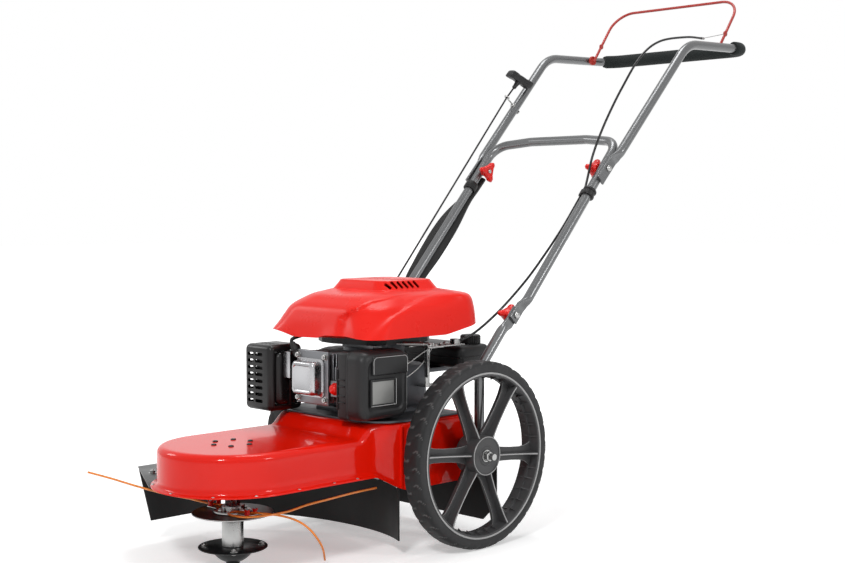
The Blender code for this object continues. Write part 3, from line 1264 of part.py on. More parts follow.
def upper_handle():
    foot, rail, up, bar = rail_path()
    start = [foot - up * 0.036, foot - up * 0.031, foot - up * 0.020, foot, foot + up * 0.018,
             foot + up * 0.036]
    corners = [start[-1], rail, bar]
    mirrored = [Vector((-p.x, p.y, p.z)) for p in reversed(corners)]
    top = bent(corners + mirrored, RAIL_BEND)
    path = start[:-1] + top + [Vector((-p.x, p.y, p.z)) for p in reversed(start[:-1])]
    inward = PLATE_HALF_THICKNESS - TUBE_RADIUS
    shapes = [None] * len(path)
    for i in (1, 2, 3, 4):
        shapes[i] = (inward, PLATE_HALF_THICKNESS, PLATE_HALF_WIDTH)
        shapes[-1 - i] = (inward, PLATE_HALF_THICKNESS, PLATE_HALF_WIDTH)
    shapes[0] = shapes[-1] = (inward, PLATE_HALF_THICKNESS, PLATE_HALF_WIDTH * 0.6)
    made = tube(path, TUBE_RADIUS, shapes=shapes)
    pivots = [rod((side * (BAIL_X + 0.0003), BAIL_PIVOT.y, BAIL_PIVOT.z),
                  (side * RAIL_X, BAIL_PIVOT.y, BAIL_PIVOT.z), BAIL_RADIUS + GAP, 16)
              for side in (1, -1)]
    cut(made, bolt_hole(UPPER_BOLT.y, UPPER_BOLT.z), *pivots)
    finish(made, "upper_handle", TUBE_GREY, UPPER_BOLT)


def foam_path():
    """The tube's centre line where the foam sits: round both corners of the rear bar."""
    reach = RAIL_BEND + FOAM_PAST_BEND
    corner = Vector((RAIL_X, REAR_BAR_Y, REAR_BAR_Z))
    before = corner - Vector((0, reach, reach * tan(RAIL_SLOPE)))
    far_corner, after = Vector((-corner.x, corner.y, corner.z)), Vector((-before.x, before.y, before.z))
    return bent([before, corner, far_corner, after], RAIL_BEND)


def foam():
    path = foam_path()
    made = tube(path[:-2], FOAM_RADIUS)
    before = path[0] + (path[0] - path[1]).normalized() * 0.01
    cut(made, tube([before, *path], TUBE_RADIUS + GAP))
    finish(made, "foam_grip", FOAM, UPPER_BOLT)


def bail():
    """The operator bail: a rod sprung into both rails, hinged so that it presses down on the grip."""
    z = BAIL_PIVOT.z
    end = RAIL_X - 0.004
    corners = [
        Vector((end, BAIL_PIVOT.y, z)), Vector((BAIL_X, BAIL_PIVOT.y, z)),
        Vector((BAIL_X, BAIL_TOP_Y, BAIL_TOP_Z)),
        Vector((-BAIL_X, BAIL_TOP_Y, BAIL_TOP_Z)), Vector((-BAIL_X, BAIL_PIVOT.y, z)),
        Vector((-end, BAIL_PIVOT.y, z)),
    ]
    tight = bent(corners[:3], 0.006, 4)
    wide = bent(corners[1:5], 0.028, 5)
    last = bent(corners[3:], 0.006, 4)
    path = tight[:-1] + wide[1:-1] + last[1:]
    made = tube(path, BAIL_RADIUS, 6, side=Vector((0, 1, 0)))
    finish(made, "bail", BAIL_RED, BAIL_PIVOT)


def knob(name, x, y, z, plate_out):
    """A wing knob on a bolt: x is the face it clamps, the bolt runs outward through both tubes."""
    side = 1 if x > 0 else -1
    inward = Vector((-side, 0, 0))
    seat = Vector((x, y, z)) + inward * GAP
    body = turned([(0.0095, 0), (0.0105, 0.003), (0.0085, 0.007), (0.0065, 0.013), (0, 0.013)], seat, inward,
                  8)
    wing_rings = []
    for deep, wide, thick in ((0.2, 0.5, 0.9), (0.5, 0.86, 1.0), (0.8, 1.0, 0.9), (1.0, 0.86, 0.7)):
        middle = seat + inward * KNOB_DEPTH * deep
        half, depth = KNOB_REACH * wide, KNOB_WING * thick
        wing_rings.append([middle + Vector((0, half * u, depth * v)) for u,
                           v in ((-1, -1), (1, -1), (1, 1), (-1, 1))])
    wing = skin(wing_rings)
    wing.data.transform(Matrix.Translation(seat) @ Matrix.Rotation(HANDLE_SLOPE, 4,
            "X") @ Matrix.Translation(-seat))
    shaft = rod(seat + inward * 0.002, Vector((side * plate_out, y, z)), BOLT_RADIUS, 8)
    head = rod(Vector((side * plate_out, y, z)), Vector((side * (plate_out + 0.004), y, z)), 0.0062, 8)
    shaft_end = join(shaft, head)
    made = join(body, wing, shaft_end)
    finish(made, name, RED_PLASTIC, Vector((x, y, z)))


def knobs():
    bracket_face = BRACKET_X + TUBE_RADIUS - 2 * PLATE_HALF_THICKNESS
    middle_plate_out = MIDDLE_X - TUBE_RADIUS + 2 * PLATE_HALF_THICKNESS
    upper_plate_out = UPPER_X - TUBE_RADIUS + 2 * PLATE_HALF_THICKNESS
    for side, word in ((1, "left"), (-1, "right")):
        knob(word + "_lower_knob", side * bracket_face, LOWER_BOLT.y, LOWER_BOLT.z, middle_plate_out + GAP)
        knob(word + "_upper_knob", side * (MIDDLE_X - TUBE_RADIUS), UPPER_BOLT.y, UPPER_BOLT.z,
             upper_plate_out + GAP)


def starter():
    """The rope's guide on the right rail, its T-grip and its two stretches."""
    along = (GRIP_CENTRE - GUIDE_RING).normalized()
    inner, outer = ROPE_RADIUS + 0.0007, ROPE_RADIUS + 0.0050
    profile = [(inner, -0.0015), (outer, -0.0015), (outer, 0.0015), (inner, 0.0015)]
    ring = turned(profile, GUIDE_RING, along, 12, ring=True)
    foot, rail, up, _ = rail_path()
    share = 0.545
    on_tube = foot + (rail - foot) * share
    over_flat = TUBE_RADIUS * cos(pi / TUBE_SIDES) + GAP
    seat = Vector((-on_tube.x, on_tube.y, on_tube.z)) + Vector((0, -up.z, up.y)) * over_flat
    to_seat = seat - GUIDE_RING
    radial = (to_seat - along * to_seat.dot(along)).normalized()
    stem = [seat, seat + Vector((0, -up.z, up.y)) * 0.008, GUIDE_RING + radial * (inner + outer) / 2]
    wire = tube(bent(stem, 0.003, 3), 0.0018, 6)
    join(ring, wire)
    pad = rod(seat, seat + Vector((0, -up.z, up.y)) * 0.003, 0.0055, 10)
    join(ring, pad)
    finish(ring, "rope_guide", BRIGHT_STEEL, UPPER_BOLT)

    bar = Vector((0, 0.583 - 0.513, 0.934 - 0.960)).normalized()
    half, thick = GRIP_HALF, GRIP_RADIUS
    profile = [(0, -half), (thick * 0.75, -half + 0.001), (thick, -half + 0.006), (thick, half - 0.006)]
    body = turned([*profile, (thick * 0.75, half - 0.001), (0, half)], GRIP_CENTRE, bar, 14)
    neck = turned([(0.0075, 0.004), (0.0060, 0.014), (0.0048, 0.024), (0.0048, 0.028)], GRIP_CENTRE, -along,
                  12)
    join(body, neck)
    finish(body, "starter_grip", BLACK_PLASTIC, GRIP_CENTRE)

    reel_exit = CRANK + Vector((-REEL_RADIUS * 0.86, REEL_RADIUS * 0.60, REEL_Z + 0.008))
    grip_end = GRIP_CENTRE - along * (0.028 + GAP)
    middle = ROPE_OUTLET + (GUIDE_RING - ROPE_OUTLET) * ROPE_SPLIT
    lower = [reel_exit, (-0.070, -0.012, 0.437), (-0.089, 0.020, 0.4475), ROPE_OUTLET, middle]
    direction = (GUIDE_RING - ROPE_OUTLET).normalized()
    upper = [middle + direction * GAP, GUIDE_RING - direction * 0.02, GUIDE_RING, grip_end]
    cord("starter_rope_lower", lower, ROPE_RADIUS, ROPE_BLACK, 0.050)
    cord("starter_rope_upper", upper, ROPE_RADIUS, ROPE_BLACK, 0.050)


def brake_cable():
    """The cable from the engine's bracket up the left tubes to the bail, in three stretches."""
    low = CONTROL_Z
    x = CONTROL_X + 0.013
    start = Vector((x, 0.0225, low + 0.0075))
    held = on_middle_handle(CABLE_CLAMP_Y, 1) - Vector((CABLE_OFFSET, 0, 0))
    lower = [start, (x, 0.0370, low + 0.0075), (x + 0.002, 0.050, low + 0.0095), (0.118, 0.075, 0.398),
             (0.128, 0.105, 0.4195), (0.1345, 0.150, 0.4525), (0.1430, 0.205, 0.501), (0.1490, 0.252, 0.549),
             (0.1545, 0.302, 0.604), held - ALONG_HANDLE * 0.013, held]
    upper = [held + ALONG_HANDLE * GAP, held + ALONG_HANDLE * 0.013, (0.1605, 0.3770, 0.7120),
             (0.1640, 0.3850, 0.7480),
             (0.1680, 0.4010, 0.7880), (0.1710, 0.4290, 0.8370), (0.1740, 0.4720, 0.8980),
             (0.1770, 0.5320, 0.9680),
             (0.1780, 0.6000, 1.0070), (0.1770, 0.7000, 1.0250), (0.1735, 0.770, 1.0285)]
    cord("brake_cable_lower", lower, CABLE_RADIUS, ROPE_BLACK, 0.045)
    cord("brake_cable_upper", upper, CABLE_RADIUS, ROPE_BLACK, 0.045)


def on_middle_handle(y, side):
    """The point of a middle handle leg's centre line at this y."""
    point = LOWER_BOLT + ALONG_HANDLE * ((y - LOWER_BOLT.y) / cos(HANDLE_SLOPE))
    point.x = side * MIDDLE_X
    return point


def clamp_ring(side, y):
    """A plastic ring round a leg of the middle handle."""
    inner = TUBE_RADIUS + GAP
    outer = inner + CLAMP_WALL
    half = CLAMP_LENGTH / 2
    profile = [(inner, -half), (outer, -half), (outer, half), (inner, half)]
    return turned(profile, on_middle_handle(y, side), ALONG_HANDLE, 12, ring=True)


def cable_clamp():
    """The left ring, with an eye that the brake cable runs through."""
    made = clamp_ring(1, CABLE_CLAMP_Y)
    centre = on_middle_handle(CABLE_CLAMP_Y, 1)
    eye = centre - Vector((CABLE_OFFSET, 0, 0))
    half = ALONG_HANDLE * (CLAMP_LENGTH / 2 - 0.001)
    join(made, rod(eye - half, eye + half, CABLE_RADIUS + 0.0028, 12))
    cut(made, rod(eye - half * 2, eye + half * 2, CABLE_RADIUS + GAP, 10),
        rod(centre - half * 2, centre + half * 2, TUBE_RADIUS + GAP, 12))
    finish(made, "cable_clamp", BLACK_PLASTIC, LOWER_BOLT)


def line_sleeve():
    """The flat black sleeve strapped behind the right leg of the middle handle."""
    outward, behind = Vector((-1, 0, 0)), Vector((0, ALONG_HANDLE.z, -ALONG_HANDLE.y))
    foot = LOWER_BOLT - Vector((MIDDLE_X, 0, 0))
    rings = []
    for along, half_width, half_depth, outside, back in SLEEVE_ROWS:
        away = outward * outside + behind * back
        wide = ALONG_HANDLE.cross(away).normalized() * half_width
        deep = away.normalized() * half_depth
        centre = foot + ALONG_HANDLE * along + away
        angles = [2 * pi * i / 12 for i in range(12)]
        rings.append([centre + wide * cos(angle) + deep * sin(angle) for angle in angles])
    sleeve = skin(rings)
    join(sleeve, clamp_ring(-1, SLEEVE_CLAMP_Y))
    cut(sleeve, rod(foot, foot + ALONG_HANDLE * 0.4, TUBE_RADIUS + GAP, 12))
    finish(sleeve, "line_sleeve", BLACK_PLASTIC, LOWER_BOLT)


def stand_on_origin():
    """Moves the machine so that the middle of its bounding box stands on the origin."""
    bpy.context.view_layer.update()
    graph = bpy.context.evaluated_depsgraph_get()
    low, high = Vector((9, 9, 9)), Vector((-9, -9, -9))
    for piece in bpy.data.objects["machine"].children:
        evaluated = piece.evaluated_get(graph)
        mesh = evaluated.to_mesh()
        for vertex in mesh.vertices:
            place = piece.matrix_world @ vertex.co
            low = Vector(map(min, low, place))
            high = Vector(map(max, high, place))
        evaluated.to_mesh_clear()
    middle = (low + high) / 2
    bpy.data.objects["machine"].location = (-middle.x, -middle.y, -low.z)
    bpy.context.view_layer.update()
    print("machine moved by", [round(value, 5) for value in bpy.data.objects["machine"].location])


def main():
    clear_scene()
    machine = bpy.data.objects.new("machine", None)
    bpy.context.scene.collection.objects.link(machine)
    wheel(1, "left")
    wheel(-1, "right")
    axle()
    deck()
    side_guard()
    debris_flap()
    rear_flap()
    head()
    trimmer_lines()
    belt_drive()
    crankcase()
    cylinder()
    valve_cover()
    muffler()
    spark_plug_boot()
    air_filter()
    blower_and_starter()
    engine_cover()
    fuel_tank()
    controls()
    bracket_tubes()
    middle_handle()
    upper_handle()
    foam()
    bail()
    knobs()
    starter()
    brake_cable()
    cable_clamp()
    line_sleeve()
    stand_on_origin()


main()
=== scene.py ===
"""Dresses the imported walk-behind string trimmer mower: finer pieces, finishes, floor, light and camera."""

import json
from math import atan2, cos, pi, radians, sin, sqrt, tan

import bpy
from mathutils import Matrix, Vector

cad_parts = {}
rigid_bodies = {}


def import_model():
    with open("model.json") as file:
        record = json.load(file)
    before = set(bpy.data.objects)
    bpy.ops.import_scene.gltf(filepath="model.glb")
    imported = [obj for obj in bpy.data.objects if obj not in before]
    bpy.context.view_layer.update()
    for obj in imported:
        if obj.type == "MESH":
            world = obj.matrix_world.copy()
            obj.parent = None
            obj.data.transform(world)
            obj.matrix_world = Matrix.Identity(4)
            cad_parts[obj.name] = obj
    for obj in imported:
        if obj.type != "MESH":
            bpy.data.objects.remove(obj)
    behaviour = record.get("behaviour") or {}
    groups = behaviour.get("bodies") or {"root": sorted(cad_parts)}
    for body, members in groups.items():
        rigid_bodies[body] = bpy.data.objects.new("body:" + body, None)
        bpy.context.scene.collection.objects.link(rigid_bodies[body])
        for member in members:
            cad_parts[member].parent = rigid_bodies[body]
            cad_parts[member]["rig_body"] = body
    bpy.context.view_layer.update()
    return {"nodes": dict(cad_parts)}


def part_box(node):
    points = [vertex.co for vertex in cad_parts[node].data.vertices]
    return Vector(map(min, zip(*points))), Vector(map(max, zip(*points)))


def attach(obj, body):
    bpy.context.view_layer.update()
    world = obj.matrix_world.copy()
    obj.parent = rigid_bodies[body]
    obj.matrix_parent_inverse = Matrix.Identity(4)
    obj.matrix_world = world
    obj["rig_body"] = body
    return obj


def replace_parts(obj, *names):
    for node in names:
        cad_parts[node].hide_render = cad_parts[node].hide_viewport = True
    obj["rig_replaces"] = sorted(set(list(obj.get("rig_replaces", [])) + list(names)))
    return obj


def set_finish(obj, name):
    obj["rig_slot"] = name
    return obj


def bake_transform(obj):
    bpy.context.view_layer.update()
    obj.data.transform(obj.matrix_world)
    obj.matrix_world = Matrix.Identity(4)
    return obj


bl_info = {"name": "Walk-behind string trimmer mower", "version": (1, 0, 0), "blender": (4, 5, 0),
           "location": "View3D > Sidebar > Mower",
           "description": "Builds the visible pieces, finishes and studio of a wheeled string trimmer mower",
           "category": "Object",}

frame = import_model()

# The source draws the machine with its axle at Y = 0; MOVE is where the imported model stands.
HEAD_Y, ENGINE_Y = -0.425, -0.082
SHAFT_LOW, SHAFT_HIGH = [Vector(corner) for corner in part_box("spindle_shaft")]
MOVE = (SHAFT_LOW + SHAFT_HIGH) / 2 - Vector((0, HEAD_Y, 0))
MOVE.z = 0


def at(x, y, z):
    """A point of the machine, from its own coordinates."""
    return Vector((x, y, z)) + MOVE


WHEEL_X, WHEEL_RADIUS = 0.2, 0.178
AXLE, HEAD, CRANK = at(0, 0, WHEEL_RADIUS), at(0, HEAD_Y, 0), at(0, ENGINE_Y, 0)
# The handle leans back by RISE upward for each metre; its bolts stand at these places along Y and Z.
RISE, BOLT_Y, BOLT_Z, FOLD_Y = 1.1146, 0.143, 0.433, 0.407
SLOPE = atan2(RISE, 1.0)
UP_HANDLE = Vector((0, cos(SLOPE), sin(SLOPE)))
LOWER_BOLT = at(0, BOLT_Y, BOLT_Z)
UPPER_BOLT = at(0, FOLD_Y, BOLT_Z + (FOLD_Y - BOLT_Y) * RISE)
BRACKET_X, MIDDLE_X, UPPER_X, RAIL_X = 0.155, 0.1755, 0.196, 0.2013
RAIL, REAR_BAR = Vector((RAIL_X, 0.671, 1.005)), Vector((RAIL_X, 0.908, 1.012))
RAIL_RISE = (REAR_BAR.z - RAIL.z) / (REAR_BAR.y - RAIL.y)
UPPER_FOOT = Vector((UPPER_X, FOLD_Y, UPPER_BOLT.z))
UP_UPPER = (RAIL - UPPER_FOOT).normalized()
BAIL_X, BAIL_Y = 0.18, 0.825
BAIL_PIVOT = at(0, BAIL_Y, RAIL.z + (BAIL_Y - RAIL.y) * RAIL_RISE)
GRIP_CENTRE, GUIDE_RING = at(-0.183, 0.55, 0.945), at(-0.187, 0.51, 0.902)
ROPE_OUTLET = at(-0.096, 0.052, 0.4765)
X, Y, Z = Vector((1, 0, 0)), Vector((0, 1, 0)), Vector((0, 0, 1))


# Sizes and colours


def linear(code):
    """An sRGB hex colour as Blender's linear values."""
    parts = [int(code[i:i + 2], 16) / 255 for i in (0, 2, 4)]
    return [p / 12.92 if p <= 0.04045 else ((p + 0.055) / 1.055) ** 2.4 for p in parts]


def length_of(name, about, default):
    return bpy.props.FloatProperty(name=name, description=about, default=default, min=0.0001, unit="LENGTH")


def colour_of(name, about, code):
    return bpy.props.FloatVectorProperty(name=name, description=about, default=linear(code), subtype="COLOR",
                                         min=0, max=1)


class MowerSizes(bpy.types.PropertyGroup):
    """Sizes that the pieces are drawn from."""

    tube: length_of("Tube radius", "Outside radius of the handle's tubes", 0.01)
    foam: length_of("Foam radius", "Outside radius of the foam grip", 0.0155)
    bail: length_of("Bail radius", "Outside radius of the coated bail rod", 0.0032)
    cable: length_of("Cable radius", "Outside radius of the brake cable's jacket", 0.0025)
    rope: length_of("Rope radius", "Radius of the starter rope", 0.002)
    line: length_of("Line radius", "Radius of the cutting line", 0.002)
    groove: length_of("Tread groove depth", "Depth of the grooves across the tyre", 0.0016)
    deck_edge: length_of("Deck edge radius", "Rounding between the deck's top and its wall", 0.013)


class MowerColours(bpy.types.PropertyGroup):
    """Colours of the finishes."""

    deck: colour_of("Deck red", "Gloss powder coat of the deck", "E21705")
    cover: colour_of("Cover red", "Satin moulded engine cover", "EA2218")
    knob: colour_of("Knob red", "Moulded knobs and primer bulb", "E01A12")
    bail: colour_of("Bail red", "Vinyl skin of the bail rod", "A8261B")
    tube: colour_of("Tube grey", "Metallic coat of the handle tubes", "6C6D6E")
    rim: colour_of("Rim grey", "Moulded wheel rims", "434344")
    tyre: colour_of("Tyre black", "Side walls of the tyres", "2B2B2C")
    tread: colour_of("Tread black", "Outer band of the tyres", "171718")
    # Painted highlight: a light grey that stands for light caught by the rims' edges, the air filter's edges
    # and the grooves' edges
    worn: colour_of("Painted highlight grey", "Painted highlight on the rims' edges, the air filter's edges and the grooves' edges", "A8A8A8")
    coat: colour_of("Black coat", "Powder coat on the guards and discs", "121213")
    plastic: colour_of("Black plastic", "Moulded air filter box and tank", "202021")
    rubber: colour_of("Rubber black", "Sheet rubber of the flaps", "151515")
    foam: colour_of("Foam black", "Foam of the grip", "1C2121")
    line: colour_of("Line orange", "Nylon cutting line", "EE8A2C")
    steel: colour_of("Plated steel", "Zinc plated fittings", "A9A9A8")
    casting: colour_of("Cast aluminium", "Die cast engine parts", "7C7D80")
    pressed: colour_of("Pressed aluminium", "Rocker cover", "A6A6A8")


# Materials


def add(tree, kind, links=None, **settings):
    """Adds a shader node. Links gives a value, or a (node, output) pair, for each named or numbered input."""
    node = tree.nodes.new("ShaderNode" + kind)
    for key, value in settings.items():
        setattr(node, key, value)
    for key, value in (links or {}).items():
        if isinstance(value, tuple) and isinstance(value[0], bpy.types.Node):
            tree.links.new(value[0].outputs[value[1]], node.inputs[key])
        else:
            node.inputs[key].default_value = value
    return node


def rgba(colour, factor=1.0):
    return (*[min(1.0, c * factor) for c in colour], 1.0)


def bare_material(name):
    """A new material with an empty node tree."""
    made = bpy.data.materials.new(name)
    made.use_nodes = True
    made.node_tree.nodes.clear()
    return made, made.node_tree


SHADER_INPUTS = {
    "ior": "IOR", "specular": "Specular IOR Level", "coat": "Coat Weight", "coat_rough": "Coat Roughness",
    "sheen": "Sheen Weight", "inner": "Subsurface Weight", "inner_reach": "Subsurface Radius",
}


def surface(name, colour, rough, grain_mm, bump_mm, metallic=0.0, spread=0.08, wear=0.06, **shader):
    """A solid finish: mottled colour and roughness, with a fine bump of the given grain in millimetres."""
    made, tree = bare_material(name)
    place = add(tree, "TexCoord")
    cloud = add(tree, "TexNoise", {"Vector": (place, "Object"), "Scale": 18.0, "Detail": 4.0,
                                   "Roughness": 0.6})
    grain = add(tree, "TexNoise", {"Vector": (place, "Object"), "Scale": 1000.0 / grain_mm, "Detail": 2.0,
                                   "Roughness": 0.5})
    tint = add(tree, "MixRGB", {"Fac": (cloud, "Fac"), "Color1": rgba(colour, 1 - spread),
                                "Color2": rgba(colour, 1 + spread)})
    matt = add(tree, "MapRange", {"Value": (cloud, "Fac"), "From Min": 0.3, "From Max": 0.7,
                                  "To Min": rough - wear, "To Max": rough + wear})
    relief = add(tree, "Bump", {"Height": (grain, "Fac"), "Strength": 0.6, "Distance": bump_mm / 1000})
    base = add(tree, "BsdfPrincipled", {"Base Color": (tint, "Color"), "Roughness": (matt, "Result"),
                                        "Normal": (relief, "Normal"), "Metallic": metallic})
    for key, value in shader.items():
        base.inputs[SHADER_INPUTS[key]].default_value = value
    add(tree, "OutputMaterial", {"Surface": (base, "BSDF")})
    made.diffuse_color = rgba(colour)
    return made


def stranded(made, across, along, depth_mm, slant=1.0):
    """Adds crossed strands over a cord's own UV map: some round it, some over its length."""
    tree = made.node_tree
    place = add(tree, "UVMap")
    heights = []
    for turn in (slant, -slant):
        skew = add(tree, "Mapping", {"Vector": (place, "UV"), "Scale": (across, along, 1.0),
                                     "Rotation": (0, 0, turn * 0.6)})
        wave = add(tree, "TexWave", {"Vector": (skew, "Vector"), "Scale": 0.5, "Distortion": 0.0},
                   wave_profile="SIN")
        heights.append((wave, "Fac"))
    both = add(tree, "Math", {0: heights[0], 1: heights[1]}, operation="MAXIMUM")
    base = tree.nodes["Principled BSDF"]
    relief = add(tree, "Bump", {"Height": (both, "Value"), "Strength": 1.0, "Distance": depth_mm / 1000})
    tree.links.new(relief.outputs["Normal"], base.inputs["Normal"])
    return made


def banded(made, colours):
    """Colours a mesh by its own attribute: 0, a half and 1 give the three colours."""
    tree = made.node_tree
    band = add(tree, "Attribute", attribute_name="band")
    ramp = add(tree, "ValToRGB", {"Fac": (band, "Fac")})
    while len(ramp.color_ramp.elements) < len(colours):
        ramp.color_ramp.elements.new(0.5)
    for element, place, colour in zip(ramp.color_ramp.elements, (0.0, 0.5, 1.0), colours):
        element.position, element.color = place, rgba(colour)
    tree.links.new(ramp.outputs["Color"], tree.nodes["Principled BSDF"].inputs["Base Color"])
    return made


def finishes():
    """Every finish by its plain name."""
    paint = bpy.context.scene.mower_colours
    return {
        # Gloss powder coat on pressed steel: wet-looking, with a faint orange peel
        "gloss_coat": surface("red_gloss_powder_coated_steel", paint.deck, 0.2, 4.0, 0.012, spread=0.02,
                              wear=0.02, coat=0.36, coat_rough=0.04, specular=0.05, ior=1.5),
        # Injection moulded ABS with an eggshell mould finish
        "abs": surface("red_satin_moulded_abs", paint.cover, 0.3, 1.4, 0.008, spread=0.02, wear=0.04,
                       specular=0.16, ior=1.53),
        "knob": surface("red_moulded_nylon", paint.knob, 0.32, 0.8, 0.02, spread=0.04, specular=0.3,
                        ior=1.53),
        # Vinyl dipped rod: soft and slightly uneven
        "vinyl": surface("red_vinyl_dipped_rod", paint.bail, 0.36, 2.0, 0.06, spread=0.06, ior=1.52),
        # Metallic coat on steel tube: fine flake that catches the light
        "tube": surface("grey_metallic_coated_tube", paint.tube, 0.3, 3.0, 0.0012, metallic=0.75, spread=0.03,
                        wear=0.02, coat=0.22, coat_rough=0.08, specular=0.2),
        "rim": surface("grey_moulded_polypropylene", paint.rim, 0.42, 1.0, 0.02, spread=0.06, specular=0.35,
                       ior=1.49),
        # The tread band is darker than the side walls, and the grooves' edges are lightened with a painted
        # highlight
        "tyre": banded(surface("black_tread_rubber", paint.tyre, 0.62, 1.4, 0.1, spread=0.1, wear=0.08,
                               specular=0.3, ior=1.52), (paint.tyre, paint.tread, paint.worn)),
        # Painted highlight: light grey strips on edges, standing for the light those edges catch
        "worn": surface("painted_highlight_grey_polypropylene", paint.worn, 0.34, 1.0, 0.01, spread=0.05, ior=1.49),
        "coat": surface("black_satin_powder_coated_steel", paint.coat, 0.32, 1.8, 0.02, spread=0.08,
                        specular=0.3, ior=1.5),
        # Moulded polypropylene with a spark-eroded texture
        "plastic": surface("black_textured_polypropylene", paint.plastic, 0.42, 0.8, 0.04, spread=0.08,
                           specular=0.28, ior=1.49),
        "rubber": surface("black_sheet_rubber", paint.rubber, 0.5, 2.2, 0.04, spread=0.16, specular=0.25,
                          ior=1.52),
        # Closed-cell foam: matt, cells about 0.8 mm, drawn at 1.2 mm to show
        "foam": surface("black_closed_cell_foam", paint.foam, 0.86, 1.2, 0.3, spread=0.12, sheen=0.05,
                        specular=0.3, ior=1.45),
        "steel": surface("zinc_plated_steel", paint.steel, 0.3, 1.2, 0.03, metallic=1.0, spread=0.1,
                         wear=0.1),
        "casting": surface("die_cast_aluminium", paint.casting, 0.42, 1.1, 0.12, metallic=0.9, spread=0.14,
                           wear=0.1),
        # Painted shade: the crankcase casting behind the air filter is darkened to stand for the shade it
        # lies in
        "shade_darkened_casting": surface("shade_darkened_die_cast_aluminium", linear("4E5054"), 0.45, 1.1, 0.12, metallic=0.7,
                                spread=0.14, wear=0.1),
        "pressed": surface("pressed_aluminium_sheet", paint.pressed, 0.26, 1.5, 0.03, metallic=1.0,
                           spread=0.06, wear=0.08),
        # Extruded nylon line: glossy, a little translucent
        "line": surface("orange_extruded_nylon_line", paint.line, 0.3, 3.0, 0.02, spread=0.08, inner=0.2,
                        inner_reach=(0.002, 0.001, 0.0005), ior=1.53),
        "jacket": surface("black_vinyl_cable_jacket", paint.coat, 0.26, 2.5, 0.01, spread=0.05, specular=0.3,
                          ior=1.52),
        "rope": stranded(surface("black_braided_nylon_rope", paint.rubber, 0.8, 1.0, 0.05), 8.0, 160.0, 0.5),
        "guide": surface("red_coated_wire_guide", paint.knob, 0.32, 1.5, 0.03, spread=0.05, ior=1.5),
        # Bare plate with a brushed face
        "plate": surface("brushed_blank_plate", linear("8C8C8A"), 0.38, 1.0, 0.02, metallic=0.8, spread=0.06),
    }


# The CAD's material slot of the nodes that a finish replaces
SLOTS = {"gloss_coat": "red_paint", "abs": "red_cover", "knob": "red_plastic", "vinyl": "bail_red",
         "tube": "tube_grey", "rim": "rim_grey", "tyre": "tyre_black", "coat": "black_steel",
         "plastic": "black_plastic", "rubber": "rubber", "foam": "foam", "steel": "bright_steel",
         "casting": "cast_aluminium", "shade_darkened_casting": "cast_aluminium", "pressed": "cast_aluminium",
         "line": "line_orange", "jacket": "cable_black", "rope": "rope_black",}


# Modelling helpers


def deselect():
    if bpy.context.object and bpy.context.object.mode != "OBJECT":
        bpy.ops.object.mode_set(mode="OBJECT")
    bpy.ops.object.select_all(action="DESELECT")


def edit():
    """Opens edit mode with every vertex selected; extruding a bare ring needs vertex selection."""
    bpy.ops.object.mode_set(mode="EDIT")
    bpy.ops.mesh.select_mode(type="VERT")
    bpy.ops.mesh.select_all(action="SELECT")


def leave_edit():
    bpy.ops.object.mode_set(mode="OBJECT")


def select_only(piece):
    deselect()
    piece.select_set(True)
    bpy.context.view_layer.objects.active = piece


def pick(piece, test):
    """Selects in edit mode the faces whose centre and normal pass the test."""
    leave_edit()
    for face in piece.data.polygons:
        face.select = bool(test(face.center, face.normal))
    for edge in piece.data.edges:
        edge.select = False
    for vertex in piece.data.vertices:
        vertex.select = False
    for face in piece.data.polygons:
        if face.select:
            for i in face.vertices:
                piece.data.vertices[i].select = True
    bpy.ops.object.mode_set(mode="EDIT")
    bpy.ops.mesh.select_mode(type="FACE")


def modify(piece, kind, **settings):
    """Adds a modifier and applies it."""
    select_only(piece)
    step = piece.modifiers.new(kind.title(), kind)
    for key, value in settings.items():
        setattr(step, key, value)
    bpy.ops.object.modifier_apply(modifier=step.name)


def cut_by(piece, cutter):
    """Takes the cutter's solid out of the piece and removes the cutter."""
    modify(piece, "BOOLEAN", operation="DIFFERENCE", object=cutter, solver="EXACT")
    bpy.data.objects.remove(cutter)


def soften(piece, width, segments=2, angle=32):
    """Rounds the edges sharper than the angle."""
    modify(piece, "BEVEL", width=width, segments=segments, limit_method="ANGLE", angle_limit=radians(angle),
           use_clamp_overlap=True, miter_outer="MITER_ARC")
    return piece


def hung(piece, name, material, body="machine", node=None, smooth=38, slot=None):
    """Finishes a piece: place, faces outward, smooth shading, material, body and the node it replaces."""
    select_only(piece)
    bpy.ops.object.transform_apply(location=True, rotation=True, scale=True)
    edit()
    bpy.ops.mesh.remove_doubles(threshold=0.00002)
    bpy.ops.mesh.normals_make_consistent(inside=False)
    leave_edit()
    bpy.ops.object.shade_smooth_by_angle(angle=radians(smooth))
    piece.name = name
    piece.data.name = name
    piece.data.materials.clear()
    piece.data.materials.append(FINISH[material])
    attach(piece, body)
    if node:
        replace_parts(piece, node)
    if node or slot:
        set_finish(piece, slot or SLOTS[material])
    return piece


def skinned(piece, near, caps):
    """Merges points that lie near each other, caps open ends if asked and turns the faces outward."""
    bpy.ops.mesh.remove_doubles(threshold=near)
    if caps:
        bpy.ops.mesh.fill_holes(sides=0)
    bpy.ops.mesh.normals_make_consistent(inside=False)
    leave_edit()
    return piece


def loft(rings, around=False, caps=True):
    """A skin over rings of equal length, from a grid primitive; around joins the last ring to the first."""
    if around:
        rings = [*rings, rings[0]]
    columns = len(rings[0])
    deselect()
    bpy.ops.mesh.primitive_grid_add(x_subdivisions=columns, y_subdivisions=len(rings) - 1, size=1)
    piece = bpy.context.object
    places = [point for ring in rings for point in [*ring, ring[0]]]
    piece.data.vertices.foreach_set("co", [value for point in places for value in point])
    edit()
    return skinned(piece, 0.00001, caps and not around)


